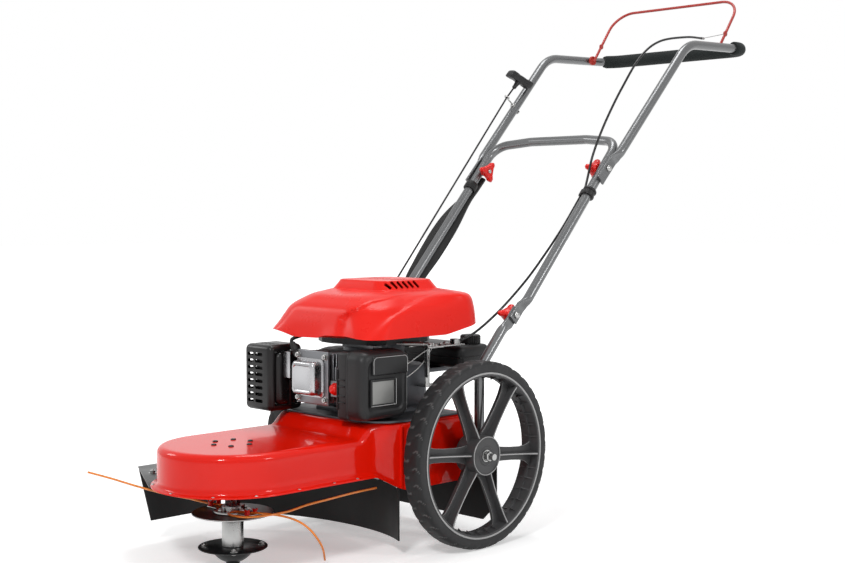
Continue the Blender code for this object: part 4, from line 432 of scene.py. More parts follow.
def turned(centre, along, profile, steps=48, around=False):
    """A circle drawn out and scaled along an axis, through (radius, height) stations."""
    along = Vector(along).normalized()
    radius, height = profile[0]
    deselect()
    bpy.ops.mesh.primitive_circle_add(vertices=steps, radius=max(radius, 0.00001),
                                      location=centre + along * height,
                                      rotation=along.to_track_quat("Z", "Y").to_euler())
    piece = bpy.context.object
    edit()
    stations = [*profile, profile[0]] if around else profile
    for (radius, height), (next_radius, next_height) in zip(stations, stations[1:]):
        bpy.ops.mesh.extrude_region_move(TRANSFORM_OT_translate={"value": along * (next_height - height)})
        factor = max(next_radius, 0.00001) / max(radius, 0.00001)
        bpy.ops.transform.resize(value=(factor,) * 3, center_override=centre + along * next_height)
    bpy.ops.mesh.select_all(action="SELECT")
    return skinned(piece, 0.00003, not around)


def block(low, high, bevel=0.002, segments=3):
    """A cube at its size and place, its edges bevelled in edit mode."""
    low, high = Vector(low), Vector(high)
    deselect()
    bpy.ops.mesh.primitive_cube_add(size=1, location=(low + high) / 2, scale=high - low)
    piece = bpy.context.object
    bpy.ops.object.transform_apply(location=True, rotation=False, scale=True)
    if bevel:
        edit()
        bpy.ops.mesh.bevel(offset=bevel, segments=segments, affect="EDGES", clamp_overlap=True)
        leave_edit()
    return piece


def recess(piece, test, inset, depth):
    """Insets the faces that pass the test and moves them along their normals; a negative depth sinks them."""
    select_only(piece)
    pick(piece, test)
    bpy.ops.mesh.inset(thickness=inset, depth=0)
    bpy.ops.mesh.extrude_region_shrink_fatten(TRANSFORM_OT_shrink_fatten={"value": depth})
    leave_edit()
    return piece


def joined(*pieces):
    """One object from several."""
    select_only(pieces[0])
    for piece in pieces[1:]:
        piece.select_set(True)
    bpy.ops.object.join()
    return bpy.context.object


def copies(piece, moves):
    """The piece and a copy of it for every further move, each with its own mesh, joined."""
    made = []
    for move in moves:
        other = piece.copy()
        other.data = piece.data.copy()
        other.data.transform(move)
        bpy.context.scene.collection.objects.link(other)
        made.append(other)
    bpy.data.objects.remove(piece)
    return joined(*made)


def turn_about(centre, angle, axis):
    """A turn by the angle about an axis through the centre."""
    return Matrix.Translation(centre) @ Matrix.Rotation(angle, 4, axis) @ Matrix.Translation(-centre)


def mirrored(piece, name):
    """A mirror image across the machine's middle plane, with its own mesh."""
    other = piece.copy()
    other.data = piece.data.copy()
    other.parent = None
    other.name = name
    bpy.context.scene.collection.objects.link(other)
    aside = Matrix.Translation((MOVE.x, 0, 0))
    other.data.transform(aside @ Matrix.Diagonal((-1, 1, 1, 1)) @ aside.inverted())
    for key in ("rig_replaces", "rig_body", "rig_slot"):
        if key in other:
            del other[key]
    return other


def finer(node, width=0.0008, segments=2, angle=34, flat=0.6):
    """A merged copy of a CAD node with its flat faces cleaned and its edges rounded."""
    source = frame["nodes"][node]
    piece = bpy.data.objects.new(node + "_finer", source.data.copy())
    bpy.context.scene.collection.objects.link(piece)
    select_only(piece)
    edit()
    bpy.ops.mesh.remove_doubles(threshold=0.00001)
    bpy.ops.mesh.dissolve_limited(angle_limit=radians(flat))
    leave_edit()
    if width:
        soften(piece, width, segments, angle)
    return piece


def along_path(points, side=X):
    """The frames of a path: each point with its side and its normal."""
    frames = []
    for i, point in enumerate(points):
        before, after = points[max(i - 1, 0)], points[min(i + 1, len(points) - 1)]
        run = (after - before).normalized()
        side = (side - run * side.dot(run)).normalized()
        frames.append((point, side, run.cross(side)))
    return frames


def pipe(points, radius, sides=24, side=X, pressed=None):
    """A round bar along points; pressed gives (shift, half side, half normal) at an index."""
    rings = []
    for i, (point, across, normal) in enumerate(along_path(points, side)):
        shift, half_side, half_normal = (pressed or {}).get(i, (0, radius, radius))
        ring = []
        for angle in around_circle(sides, 0.5):
            u, v = cos(angle), sin(angle)
            if half_side < 0.5 * half_normal:
                u = max(-1, min(1, 2.5 * u))
            ring.append(point + across * (shift + half_side * u) + normal * (half_normal * v))
        rings.append(ring)
    return loft(rings)


def bent(corners, radii, steps=10):
    """A centre line with an arc at each corner, of the one radius given or of its own."""
    corners = [Vector(corner) for corner in corners]
    points = [corners[0]]
    if not isinstance(radii, (list, tuple)):
        radii = [radii] * (len(corners) - 2)
    for before, corner, after, radius in zip(corners, corners[1:], corners[2:], radii):
        into, out = (before - corner).normalized(), (after - corner).normalized()
        turn = pi - into.angle(out)
        reach = radius * tan(turn / 2)
        middle = corner + (into + out).normalized() * (radius / cos(turn / 2))
        first, last = corner + into * reach - middle, corner + out * reach - middle
        for i in range(steps + 1):
            share = i / steps
            points.append(middle + (first * sin((1 - share) * turn) + last * sin(share * turn)) / sin(turn))
    points.append(corners[-1])
    return points


def both_sides(*points):
    """The points and then their mirror images, from end to end."""
    return [*points, *[Vector((-point.x, point.y, point.z)) for point in reversed(points)]]


def smooth_step(a, b, c, d, t):
    """The place at the share t from b to c on a smooth curve through four."""
    return 0.5 * (2 * b + (c - a) * t + (2 * a - 5 * b + 4 * c - d) * t**2 + (3 * b - a - 3 * c + d) * t**3)


def route(points, spacing):
    """Evenly spaced points on a smooth curve through the route's own points."""
    points = [Vector(point) for point in points]
    padded = [2 * points[0] - points[1], *points, 2 * points[-1] - points[-2]]
    found = [points[0]]
    for a, b, c, d in zip(padded, padded[1:], padded[2:], padded[3:]):
        count = max(1, int((c - b).length / spacing) + 1)
        for i in range(1, count + 1):
            t = i / count
            found.append(smooth_step(a, b, c, d, t))
    return found


def hexagon(centre, along, across, height, washer=0.0):
    """A nut or bolt head with a chamfered top, on a washer if one is asked for."""
    half = across / 2
    piece = turned(centre, along, [(half, 0), (half * 1.12, height * 0.15), (half * 1.12, height * 0.85),
                                   (half * 0.98, height), (half / 2, height), (half / 2, height * 1.35),
                                   (0, height * 1.4)], 6)
    if washer:
        ring = [(washer * 0.7, -0.0012), (washer, -0.0012), (washer, -0.0001), (washer * 0.7, 0)]
        piece = joined(piece, turned(centre, along, ring, 24))
    return piece


def dome_bolt(centre, along, radius, height):
    profile = [(1, 0), (1, 0.25), (0.86, 0.7), (0.5, 0.95), (0, 1)]
    return turned(centre, along, [(radius * r, height * h) for r, h in profile], 20)


def eased(value):
    """A soft step from 0 to 1."""
    value = max(0.0, min(1.0, value))
    return value * value * (3 - 2 * value)


def heading(degrees):
    return Vector((cos(radians(degrees)), sin(radians(degrees)), 0))


def around_circle(count, shift=0.0):
    """Evenly spaced angles round a circle."""
    return [2 * pi * (k + shift) / count for k in range(count)]


def folded(*low):
    """Stations of (radius, height) and then their mirror images above, from end to end."""
    return [*low, *[(radius, -height) for radius, height in reversed(low)]]


def from_head(degrees, radius, height):
    """A point about the trimmer head's shaft."""
    return HEAD + heading(degrees) * radius + Z * height


def curved_wall(start, sweep, steps, section):
    """A wall about the trimmer head: a section of (radius, height) carried round an arc in degrees."""
    return loft([[from_head(start + sweep * i / steps, *corner) for corner in section]
                 for i in range(steps + 1)])


def rounded(half_width, half_depth, corner, steps=8):
    """Points round a rectangle with rounded corners, about its middle."""
    found = []
    for sign_u, sign_v, start in ((1, 1, 0), (-1, 1, 90), (-1, -1, 180), (1, -1, 270)):
        for i in range(steps + 1):
            angle = radians(start + 90 * i / steps)
            found.append((sign_u * (half_width - corner) + corner * cos(angle),
                          sign_v * (half_depth - corner) + corner * sin(angle)))
    return found


def cord(piece, name, material, node, bodies, slot=None):
    """Finishes a piece that bends between two bodies; blend wants it without a parent."""
    piece = hung(piece, name, material, bodies[1], node, 60, slot)
    piece.parent = None
    del piece["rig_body"]
    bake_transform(piece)


# Pieces


class MOWER_OT_wheels(bpy.types.Operator):
    """Tyres with grooved treads, ribbed rims, nuts and washers"""

    bl_idname = "mower.wheels"
    bl_label = "Wheels"

    def execute(self, context):
        sizes = context.scene.mower_sizes
        centre = AXLE + X * WHEEL_X

        def place(angle, radius, out, sideways=0.0):
            radial = Vector((0, cos(angle), sin(angle)))
            tangent = Vector((0, -sin(angle), cos(angle)))
            return centre + radial * radius + tangent * sideways + X * out

        section = [(0.0219, 0.1579), (0.0224, 0.1605), (0.0226, 0.164), (0.0224, 0.1672), (0.0216, 0.1708),
                   (0.0202, 0.1742), (0.0182, 0.1764), (0.015, 0.1776),
                   *[(out, WHEEL_RADIUS) for out in (0.011, 0.007, 0.003)]]
        section += [(-out, radius) for out, radius in reversed(section)] + [(-0.0195, 0.155), (0.0195, 0.155)]
        # Steps round the tyre, lugs of its tread, its half width and the sweep of the grooves across it
        steps, lugs, widest, sweep = 432, 36, 0.0226, 0.34
        groove_half, shoulder = 0.16, 0.169

        def phase_at(angle, out):
            """How far through its lug a place is, from 0 to 1; the groove lies about the half."""
            return (angle * lugs / (2 * pi) + sweep * sin(out / widest * pi)) % 1

        rings = []
        for angle in around_circle(steps):
            ring = []
            for out, radius in section:
                phase = phase_at(angle, out)
                near = max(0.0, 1 - abs(phase - 0.5) / groove_half)
                depth = sizes.groove * min(1.0, near * 1.6) * max(0.0, min(1.0, (radius - shoulder) / 0.004))
                rib = 0.0007 if 0.165 < radius < 0.1715 and phase < 0.45 else 0.0
                ring.append(place(angle, radius - depth, out + (rib if out > 0 else -rib)))
            rings.append(ring)
        tyre = hung(loft(rings, around=True), "left_tyre_tread", "tyre", "left_wheel", "left_tyre", 28)
        band = tyre.data.attributes.new("band", "FLOAT", "POINT")
        for vertex in tyre.data.vertices:
            spot = vertex.co - centre
            radius, angle = Vector((spot.y, spot.z)).length, atan2(spot.z, spot.y)
            # Painted highlight: one edge of each groove is lightened towards the highlight grey
            on_edge = abs(phase_at(angle, spot.x) - 0.42) < 0.05 and 0.1725 < radius and abs(spot.x) > 0.004
            band.data[vertex.index].value = 0.6 if on_edge else 0.5 * eased((radius - 0.17) / 0.003)

        half = 0.0223
        barrel = folded((0.1546, 0.0023 - half), (0.1575, 0.0021 - half), (0.1575, 0.0004 - half),
                        (0.1568, -half), (0.1512, -half), (0.1504, 0.001 - half), (0.1492, -0.0034),
                        (0.1462, -0.0028))
        rim = turned(centre, X, barrel, 120, around=True)
        hub = turned(centre, X, [(0.0375, -half), (0.0375, half + 0.0015), (0.0368, half + 0.0025),
                                 (0.0346, half + 0.0025), (0.0338, half + 0.001), (0.019, half + 0.0006),
                                 (0.0176, half + 0.0022), (0.015, half + 0.0022), (0.0118, half + 0.0006),
                                 (0.0068, half + 0.0004), (0.0068, -half)], 64, around=True)
        widths = [(0.034, 0.0185, 0.02), (0.04, 0.0162, 0.0196), (0.05, 0.0142, 0.0186),
                  (0.07, 0.0128, 0.0172), (0.095, 0.0122, 0.0168), (0.118, 0.0128, 0.0174),
                  (0.132, 0.015, 0.0184), (0.141, 0.019, 0.0196), (0.1465, 0.024, 0.0206),
                  (0.15, 0.03, 0.0212)]
        web, rib = [], []
        for radius, wide, deep in widths:
            corners = folded((-wide, -0.0022), (0.0012 - wide, -0.003), (wide - 0.0012, -0.003),
                             (wide, -0.0022))
            web.append([place(0, radius, z, s) for s, z in corners])
            thin = 0.0018 + 0.001 * max(0.0, (radius - 0.125) / 0.025)
            thin += 0.0012 * max(0.0, (0.05 - radius) / 0.016)
            ease = 0.0006
            corners = ((-thin - ease, 0), (-thin, deep - ease), (ease - thin, deep), (thin - ease, deep),
                       (thin, deep - ease), (thin + ease, 0), (thin, ease - deep), (-thin, ease - deep))
            rib.append([place(0, radius, z, s) for s, z in corners])
        spoke = joined(loft(web), loft(rib))
        fins = []
        for degrees in (13.0, 22.5, 32.0, 41.0, 49.0):
            angle = radians(degrees)
            for thin, corners in ((0.0009, ((0.1508, 0.0205), (0.1432, 0.003), (0.1508, 0.003))),
                                  (0.0008, ((0.1505, -0.0185), (0.1455, -0.003), (0.1505, -0.003)))):
                fins.append(loft([[place(angle, *corner, t) for corner in corners] for t in (-thin, thin)]))
        bay = joined(spoke, *fins)
        turns = [turn_about(centre, radians(-5.6) + angle, "X") for angle in around_circle(6)]
        rim = joined(rim, hub, copies(bay, turns))
        rim = hung(rim, "left_rim_moulding", "rim", "left_wheel", "left_rim", 30)
        # Painted highlights: thin light grey strips on the rim's lip, hub boss, rib crests and web edges
        # stand for the light those edges catch
        lip = turned(centre, X, [(0.1566, half - 0.0001), (0.1573, half + 0.0002), (0.155, half + 0.0006),
                                 (0.1541, half)], 160, around=True)
        boss = turned(centre, X, [(0.035, half + 0.0024), (0.0366, half + 0.0024), (0.0362, half + 0.003),
                                  (0.0354, half + 0.003)], 80, around=True)
        strip = ((-0.0012, -0.0004), (-0.001, 0.0003), (0.001, 0.0003), (0.0012, -0.0004))
        crest = [[place(0, radius, deep + lift, s) for s, lift in strip] for radius, wide, deep in widths]
        strip = ((-0.0007, 0.0022), (0.0002, 0.0022), (0.0003, 0.0014), (-0.0007, 0.0026))
        sills = []
        for side in (1, -1):
            sills.append(loft([[place(0, radius, lift, side * wide + s) for s, lift in strip]
                               for radius, wide, deep in widths[1:]]))
        worn = joined(lip, boss, copies(joined(loft(crest), *sills), turns))
        worn = hung(worn, "left_rim_worn_edges", "worn", "left_wheel", smooth=30)
        right_side = ((worn, "right_rim_worn_edges", "worn", None, 30),
                      (tyre, "right_tyre_tread", "tyre", "right_tyre", 28),
                      (rim, "right_rim_moulding", "rim", "right_rim", 28))
        for piece, name, material, node, smooth in right_side:
            hung(mirrored(piece, name), name, material, "right_wheel", node, smooth)
        axle = [turned(AXLE, X, folded((0.0061, -0.2435), (0.0063, -0.2425)), 32)]
        washer = folded((0.0063, -0.0008), (0.0112, -0.0008), (0.0117, -0.0004))
        for side in (1, -1):
            out = X * side
            axle.append(turned(AXLE, out, [(0.011, 0.1605), (0.011, 0.177), (0.0064, 0.177)], 32))
            face = AXLE + out * 0.225
            axle.append(turned(face - out * 0.0012, out, washer, 40))
            axle.append(hexagon(face, out, 0.0175, 0.0088))
        hung(joined(*axle), "axle_with_nuts", "steel", "machine", "axle", 32)
        return {"FINISHED"}


# The deck: height over the head, half widths, where it starts and stops widening, and its rear corners
DECK_TOP, PLATFORM_RISE = 0.226, 0.024
NARROW, WIDE = 0.1325, 0.16
WIDENING_Y, WIDE_Y = -0.212, -0.132
REAR_CORNER_Y, REAR_CORNER = 0.0215, 0.02


def deck_outline():
    """Points and outward normals round the deck's wall, with its flange reach and the wall's foot height."""
    right = []
    for i in range(25):
        angle = -pi / 2 + pi / 2 * i / 24
        right.append((NARROW * cos(angle), HEAD_Y + NARROW * sin(angle)))
    for i in range(1, 45):
        right.append((NARROW, HEAD_Y + (WIDENING_Y - HEAD_Y) * i / 44))
    for i in range(1, 21):
        right.append((NARROW + (WIDE - NARROW) * eased(i / 20), WIDENING_Y + (WIDE_Y - WIDENING_Y) * i / 20))
    for i in range(1, 12):
        right.append((WIDE, WIDE_Y + (REAR_CORNER_Y - WIDE_Y) * i / 11))
    for i in range(1, 9):
        angle = pi / 2 * i / 8
        right.append((WIDE - REAR_CORNER + REAR_CORNER * cos(angle),
                      REAR_CORNER_Y + REAR_CORNER * sin(angle)))
    for i in range(1, 7):
        right.append(((WIDE - REAR_CORNER) * (1 - i / 6), REAR_CORNER_Y + REAR_CORNER))
    left = [(-x, y) for x, y in reversed(right[1:-1])]
    points = [Vector((x, y, 0)) for x, y in right + left]
    found = []
    for i, point in enumerate(points):
        run = (points[(i + 1) % len(points)] - points[i - 1]).normalized()
        normal = Vector((run.y, -run.x, 0))
        ease = eased((point.y - WIDENING_Y) / 0.07)
        found.append((point, normal, 0.0112 * (1 - ease) + 0.0012 * ease, 0.154 - 0.029 * ease))
    return found


def deck_height(x, y):
    """The deck's top: flat over the head, with a soft rise to the engine platform."""
    beyond = Vector((max(0.0, abs(x) - 0.088), max(0.0, -0.147 - y))).length - 0.07
    return DECK_TOP + PLATFORM_RISE * eased(1.0 - beyond / 0.031)


class MOWER_OT_deck(bpy.types.Operator):
    """The pressed deck with its rolled flange, raised platform and inner wall"""

    bl_idname = "mower.deck"
    bl_label = "Deck"

    def execute(self, context):
        edge = context.scene.mower_sizes.deck_edge
        outline = deck_outline()
        flange, sheet, screw_z = 0.0115, 0.0022, 0.1565
        stations = [(1.0, 0.0), (1.0, 0.0022), (0.92, 0.003), (0.35, 0.0034), (0.1, 0.006), (0.0, flange)]
        rings = []
        for share, lift in stations:
            rings.append([at(*(point + normal * reach * share).xy, foot + lift)
                          for point, normal, reach, foot in outline])
        for share in (0.25, 0.5, 0.75):
            rings.append([at(*point.xy,
                             (foot + flange) * (1 - share) + (deck_height(point.x, point.y) - edge) * share)
                          for point, normal, reach, foot in outline])
        steps = 8
        for i in range(steps + 1):
            angle = pi / 2 * i / steps
            ring = []
            for point, normal, reach, foot in outline:
                drawn = point - normal * edge * (1 - cos(angle))
                ring.append(at(drawn.x, drawn.y, deck_height(drawn.x, drawn.y) - edge * (1 - sin(angle))))
            rings.append(ring)
        for share in (0.96, 0.9, 0.84, 0.77, 0.7, 0.6, 0.45, 0.25, 0.0):
            ring = []
            for point, normal, reach, foot in outline:
                drawn = point - normal * edge
                spine = Vector((0, max(HEAD_Y, min(-0.02, drawn.y)), 0))
                drawn = spine + (drawn - spine) * share
                ring.append(at(drawn.x, drawn.y, deck_height(drawn.x, drawn.y)))
            rings.append(ring)
        shell = loft(rings, caps=False)
        modify(shell, "SOLIDIFY", thickness=sheet, offset=-1)
        section = [(0.309, 0.129), (0.3113, 0.129), (0.3113, 0.246), (0.309, 0.246)]
        wall = curved_wall(59.2, 61.6, 24, section)
        hung(joined(shell, wall), "pressed_deck", "gloss_coat", "machine", "deck", 50)
        bolts = [dome_bolt(from_head(20 + 60 * i, 0.036, DECK_TOP), Z, 0.005, 0.0026) for i in range(6)]
        hung(joined(*bolts), "spindle_bolt_heads", "coat", smooth=50)
        spots = [from_head(degrees, 0.1395, screw_z) for degrees in (-122, -85, -50, -20, 20, 200, 235)]
        spots += [at(0.1385, y, screw_z) for y in (-0.385, -0.305, -0.25)]
        spots += [at(-0.1385, y, screw_z) for y in (-0.345, -0.265)]
        screws = [dome_bolt(spot, Z, 0.0032, 0.0018) for spot in spots]
        hung(joined(*screws), "flange_screws", "steel", smooth=50)
        return {"FINISHED"}


class MOWER_OT_guards(bpy.types.Operator):
    """Side guard, curved and rear flaps with their strips and bolts"""

    bl_idname = "mower.guards"
    bl_label = "Guards and flaps"

    def execute(self, context):
        hung(finer("side_guard", 0.001), "side_guard_plate", "coat", "machine", "side_guard")
        spots = at(-0.185, -0.47, 0.154), at(-0.215, -0.35, 0.154), at(-0.205, -0.285, 0.154)
        bolts = [hexagon(spot, Z, 0.01, 0.0045, 0.008) for spot in spots]
        bolts.append(dome_bolt(at(-0.2595, -0.4, 0.085), -X, 0.0045, 0.003))
        hung(joined(*bolts), "guard_bolts", "steel")
        inner, outer, levels = 0.305, 0.308, 7
        rings = []
        for i in range(77):
            degrees = 61 + 85 * i / 76
            foot = 0.03 + 0.004 * sin(3 * radians(degrees))
            # The flap is cut lower where it runs under the side guard
            top = 0.15 if heading(degrees).x * inner > -0.147 else 0.1225
            rise = [foot + 0.001 + (top - foot) * k / levels for k in range(levels + 1)]
            section = [(inner, foot), (outer - 0.0005, foot - 0.0004), *[(outer, z) for z in rise],
                       *[(inner, z) for z in reversed(rise[1:])]]
            rings.append([from_head(degrees, *corner) for corner in section])
        hung(loft(rings), "curved_flap_sheet", "rubber", "machine", "debris_flap")
        strip = [(0.3025, 0.128), (0.3047, 0.128), (0.3047, 0.146), (0.3025, 0.146)]
        strips = joined(curved_wall(61.5, 13, 12, strip), curved_wall(78, 38, 24, strip))
        heads = [dome_bolt(from_head(degrees, 0.3026, 0.137), -heading(degrees), 0.0045, 0.003)
                 for degrees in (64, 72, 82, 97, 112)]
        hung(soften(strips, 0.0004), "flap_clamp_strips", "steel")
        hung(joined(*heads), "flap_rivets", "steel")
        hung(finer("rear_flap", 0.0009, 3), "rear_flap_sheet", "rubber", "machine", "rear_flap")
        bolts = [dome_bolt(at(x, 0.0867, 0.138), Y, 0.0055, 0.004) for x in (-0.155, -0.05, 0.05, 0.155)]
        hung(joined(*bolts), "rear_flap_bolts", "steel")
        bar = block(at(-0.168, 0.0795, 0.13), at(0.168, 0.0832, 0.146), 0.001, 2)
        hung(bar, "rear_flap_backing_bar", "coat")
        return {"FINISHED"}


class MOWER_OT_head(bpy.types.Operator):
    """Trimmer head: discs, spacer, line holder, cup, bolts and the two cutting lines"""

    bl_idname = "mower.head"
    bl_label = "Trimmer head"

    def execute(self, context):
        body, bore = "trimmer_head", 0.0064
        radius = context.scene.mower_sizes.line
        disc = turned(HEAD, Z, [(bore, 0.1003), (0.0716, 0.1003), (0.0725, 0.101), (0.0725, 0.1022),
                                (0.0716, 0.103), (bore, 0.103)], 96, around=True)
        hung(disc, "line_disc_plate", "coat", body, "line_disc", 40)
        edge = turned(HEAD, Z, [(0.0725, 0.1008), (0.0727, 0.1011), (0.0727, 0.1021), (0.0725, 0.1024)], 96,
                      around=True)
        hung(edge, "line_disc_bright_edge", "steel", body, smooth=40)
        spacer = turned(HEAD, Z, [(bore, 0.042), (0.0186, 0.042), (0.0193, 0.0428), (0.0193, 0.099),
                                  (0.0186, 0.0999), (bore, 0.0999)], 48, around=True)
        hung(spacer, "spacer_sleeve", "steel", body, "spacer_tube", 40)
        upper = turned(HEAD, Z, [(bore, 0.1155), (0.006, 0.1155), (0.0131, 0.1156), (0.0134, 0.116),
                                 (0.0134, 0.17), (0.0098, 0.1708), (0.01, 0.1712), (0.01, 0.222),
                                 (0.0, 0.2222)], 40)
        lower = turned(HEAD, Z, [(0.0, 0.0285), (0.0056, 0.0285), (0.006, 0.029), (0.006, 0.116),
                                 (0.0, 0.116)], 24)
        nut = hexagon(HEAD + Z * 0.0386, -Z, 0.0172, 0.006)
        hung(joined(upper, lower, nut), "spindle_with_nut", "steel", body, "spindle_shaft")
        skid = turned(HEAD, Z, [(bore, 0.039), (0.0612, 0.039), (0.062, 0.0396), (0.062, 0.0409),
                                (0.0612, 0.0415), (bore, 0.0415)], 96, around=True)
        hung(skid, "skid_plate", "coat", body, "skid_disc", 40)
        bowl, thick, brim = 0.042, 0.0022, 0.0385
        cup = [(0.0, 0.0), (0.0119, 0.0), (0.0125, 0.0006), (0.0125, 0.0128)]
        walls = ((bowl, 0.0536, 0.0136, brim, 10), (bowl - thick, 0.0553, brim, 0.0175, 8))
        for bend, middle, low, high, steps in walls:
            for i in range(steps + 1):
                z = low + (high - low) * i / steps
                cup.append((sqrt(bend**2 - (middle - z) ** 2), z))
        cup.append((0.0, 0.016))
        hung(turned(HEAD, Z, cup, 72), "skid_cup_bowl", "coat", body, "skid_cup", 34)
        bolts = []
        for spot in [from_head(degrees, 0.051, 0.0416) for degrees in (-35, 55, 145, 235)]:
            bolts += [hexagon(spot, Z, 0.0085, 0.004, 0.0065), dome_bolt(spot - Z * 0.0027, -Z, 0.005, 0.003)]
        hung(joined(*bolts), "skid_plate_bolts", "steel", body)
        hub = turned(HEAD, Z, [(bore, 0.1034), (0.0335, 0.1034), (0.034, 0.104), (0.0335, 0.1062),
                               (0.0206, 0.1066), (0.02, 0.1072), (0.02, 0.1145), (0.0192, 0.1152),
                               (bore, 0.1152)], 48, around=True)
        arms = Vector((0.06, 0.0132, 0.0014))
        arms = block(HEAD + Z * 0.1048 - arms, HEAD + Z * 0.1048 + arms, 0.0008, 2)
        hung(joined(hub, arms), "line_holder_plate", "steel", body, "line_holder")
        feet = [HEAD + Vector((side * 0.054, across * 0.0085, 0.1062)) for side in (1, -1)
                for across in (1, -1)]
        pin = [(0.003, -0.001), (0.003, 0.01), (0.0024, 0.0104), (0.0, 0.0105)]
        roller = [(0.0031, 0.0), (0.0052, 0.0), (0.0055, 0.0004), (0.0042, 0.003), (0.0042, 0.0064),
                  (0.0055, 0.009), (0.0052, 0.0094), (0.0031, 0.0094)]
        pins = [turned(foot, Z, pin, 20) for foot in feet]
        hung(joined(*pins), "guide_post_pins", "steel", body)
        rollers = [turned(foot, Z, roller, 28, around=True) for foot in feet]
        hung(joined(*rollers), "line_guide_rollers", "knob", body)
        aside = Y * 0.027, -Y * 0.027, -X * 0.0265, X * 0.0265
        nuts = [hexagon(HEAD + Z * 0.1066 + spot, Z, 0.0085, 0.0045, 0.0062) for spot in aside]
        hung(joined(*nuts), "line_holder_nuts", "steel", body)
        # The height of the lines between the holder's rollers
        z = 0.1086
        line_a = [(-0.31, -0.531, 0.1455), (-0.26, -0.512, 0.138), (-0.2, -0.4935, 0.129),
                  (-0.14, -0.47, 0.12), (-0.1, -0.4475, 0.1145), (-0.07, -0.4305, z), (-0.05, HEAD_Y, z),
                  (-0.03, -0.418, z), (-0.0235, -0.405, z), (-0.03, -0.39, z), (-0.06, -0.372, z + 0.001),
                  (-0.1, -0.345, z + 0.002), (-0.15, -0.305, z + 0.003), (-0.2, -0.262, z + 0.004)]
        line_b = [(0.106, -0.3, 0.0125), (0.122, -0.318, 0.038), (0.129, -0.336, 0.06),
                  (0.1255, -0.352, 0.08), (0.115, -0.368, 0.0945), (0.098, -0.388, 0.104), (0.075, -0.411, z),
                  (0.05, HEAD_Y, z), (0.03, -0.434, z), (0.024, -0.445, z), (0.031, -0.4575, z),
                  (0.05, -0.46, z), (0.075, -0.449, z), (0.092, -0.42, z + 0.001), (0.097, -0.38, z + 0.002),
                  (0.094, -0.33, 0.115), (0.098, -0.28, 0.119), (0.1075, -0.23, 0.1245),
                  (0.118, -0.185, 0.1285)]
        for name, points in (("trimmer_line_a", line_a), ("trimmer_line_b", line_b)):
            path = route([at(*point) for point in points], 0.006)
            hung(pipe(path, radius, 14), name.replace("trimmer", "cutting"), "line", body, name, 60)
        housing = finer("spindle_housing", 0.001, 3)
        hung(housing, "spindle_housing_casting", "casting", "machine", "spindle_housing")
        return {"FINISHED"}


def between(table, value):
    """The value that a table of (place, value) pairs gives at a place, eased between its entries."""
    if value <= table[0][0]:
        return table[0][1]
    for (low, first), (high, second) in zip(table, table[1:]):
        if value <= high:
            return first + (second - first) * (value - low) / (high - low)
    return table[-1][1]


# Height, rise of the edge behind, and half width, depth and corner behind and in front, about the crank
COVER_ROWS = [(0.405, 0.02, 0.155, 0.152, 0.046, 0.155, 0.152, 0.046),
              (0.44, 0.006, 0.1535, 0.1505, 0.046, 0.1435, 0.14, 0.062),
              (0.458, 0.0, 0.1515, 0.149, 0.046, 0.136, 0.132, 0.071),
              (0.471, 0.0, 0.149, 0.1465, 0.047, 0.122, 0.117, 0.076),
              (0.4795, 0.0, 0.143, 0.14, 0.048, 0.108, 0.103, 0.075),
              (0.484, 0.0, 0.12, 0.125, 0.045, 0.095, 0.08, 0.06),
              (0.488, 0.0, 0.083, 0.1115, 0.034, 0.083, 0.0515, 0.034)]
RAISED_ROWS = [(0.4884, 0.0, 0.0824, 0.1109, 0.034, 0.0824, 0.0509, 0.034),
               (0.49, 0.0, 0.0812, 0.1096, 0.033, 0.0812, 0.0496, 0.033),
               (0.5, 0.0, 0.0745, 0.1024, 0.03, 0.0745, 0.0424, 0.03),
               (0.5044, 0.0, 0.0718, 0.1, 0.029, 0.0718, 0.04, 0.029),
               (0.5056, 0.0, 0.0704, 0.099, 0.028, 0.0704, 0.039, 0.028),
               (0.506, 0.0, 0.068, 0.097, 0.027, 0.068, 0.037, 0.027),
               (0.5061, 0.0, 0.04, 0.07, 0.02, 0.04, 0.02, 0.015)]
# Angle about the crank of the scoop's two creases, by the share of the hood's height
SCOOP_FRONT = [(0.0, -68), (0.45, -67), (0.6, -60), (0.8, -45), (0.9, -25), (1.0, 35)]
SCOOP_BACK = [(0.0, -45), (0.45, -30), (0.7, -12), (0.85, 5), (0.95, 30), (1.0, 55)]
RIM_WAVE = [(-150, 0), (-128, 0.006), (-112, -0.005), (-86, -0.003), (-80, 0.003), (-60, 0.004), (-48, 0.0),
            (-40, 0)]


def cover_ring(row, steps=24):
    """One ring of the hood: steep behind, sloped in front, the scoop pressed in at its left front corner."""
    z, rise, *sizes = row
    half = 2 * (steps + 1)
    corners = [*rounded(*sizes[:3], steps)[:half], *rounded(*sizes[3:], steps)[half:]]
    ring = [Vector((x, y, z)) for x, y in corners]
    found = []
    for i, point in enumerate(ring):
        found.append(point)
        if i % (steps + 1) == steps:
            found += [point.lerp(ring[(i + 1) % len(ring)], share / 20) for share in range(1, 20)]
    share = (z - COVER_ROWS[0][0]) / (COVER_ROWS[-1][0] - COVER_ROWS[0][0])
    for point in found:
        point.z += rise * max(0.0, min(1.0, (point.y - 0.045) / 0.107))
        if share > 1:
            continue
        turn = atan2(point.y, point.x) * 180 / pi
        point.z += between(RIM_WAVE, turn) * max(0.0, 1 - share / 0.25)
        past_front, before_back = turn - between(SCOOP_FRONT, share), between(SCOOP_BACK, share) - turn
        # The scoop is pressed in over 3.2 and 5 degrees and is deepest half way up
        depth = eased(past_front / 3.2) * eased(before_back / 5.0) * eased((1.0 - share) / 0.22)
        depth *= 0.0045 + 0.0035 * eased(1 - abs(share - 0.52) / 0.4)
        steep = share**3
        across = Vector((point.x, point.y, 0)).normalized()
        point -= across * depth * (1 - steep) + Z * depth * steep * 0.8
    return [CRANK + point for point in found]


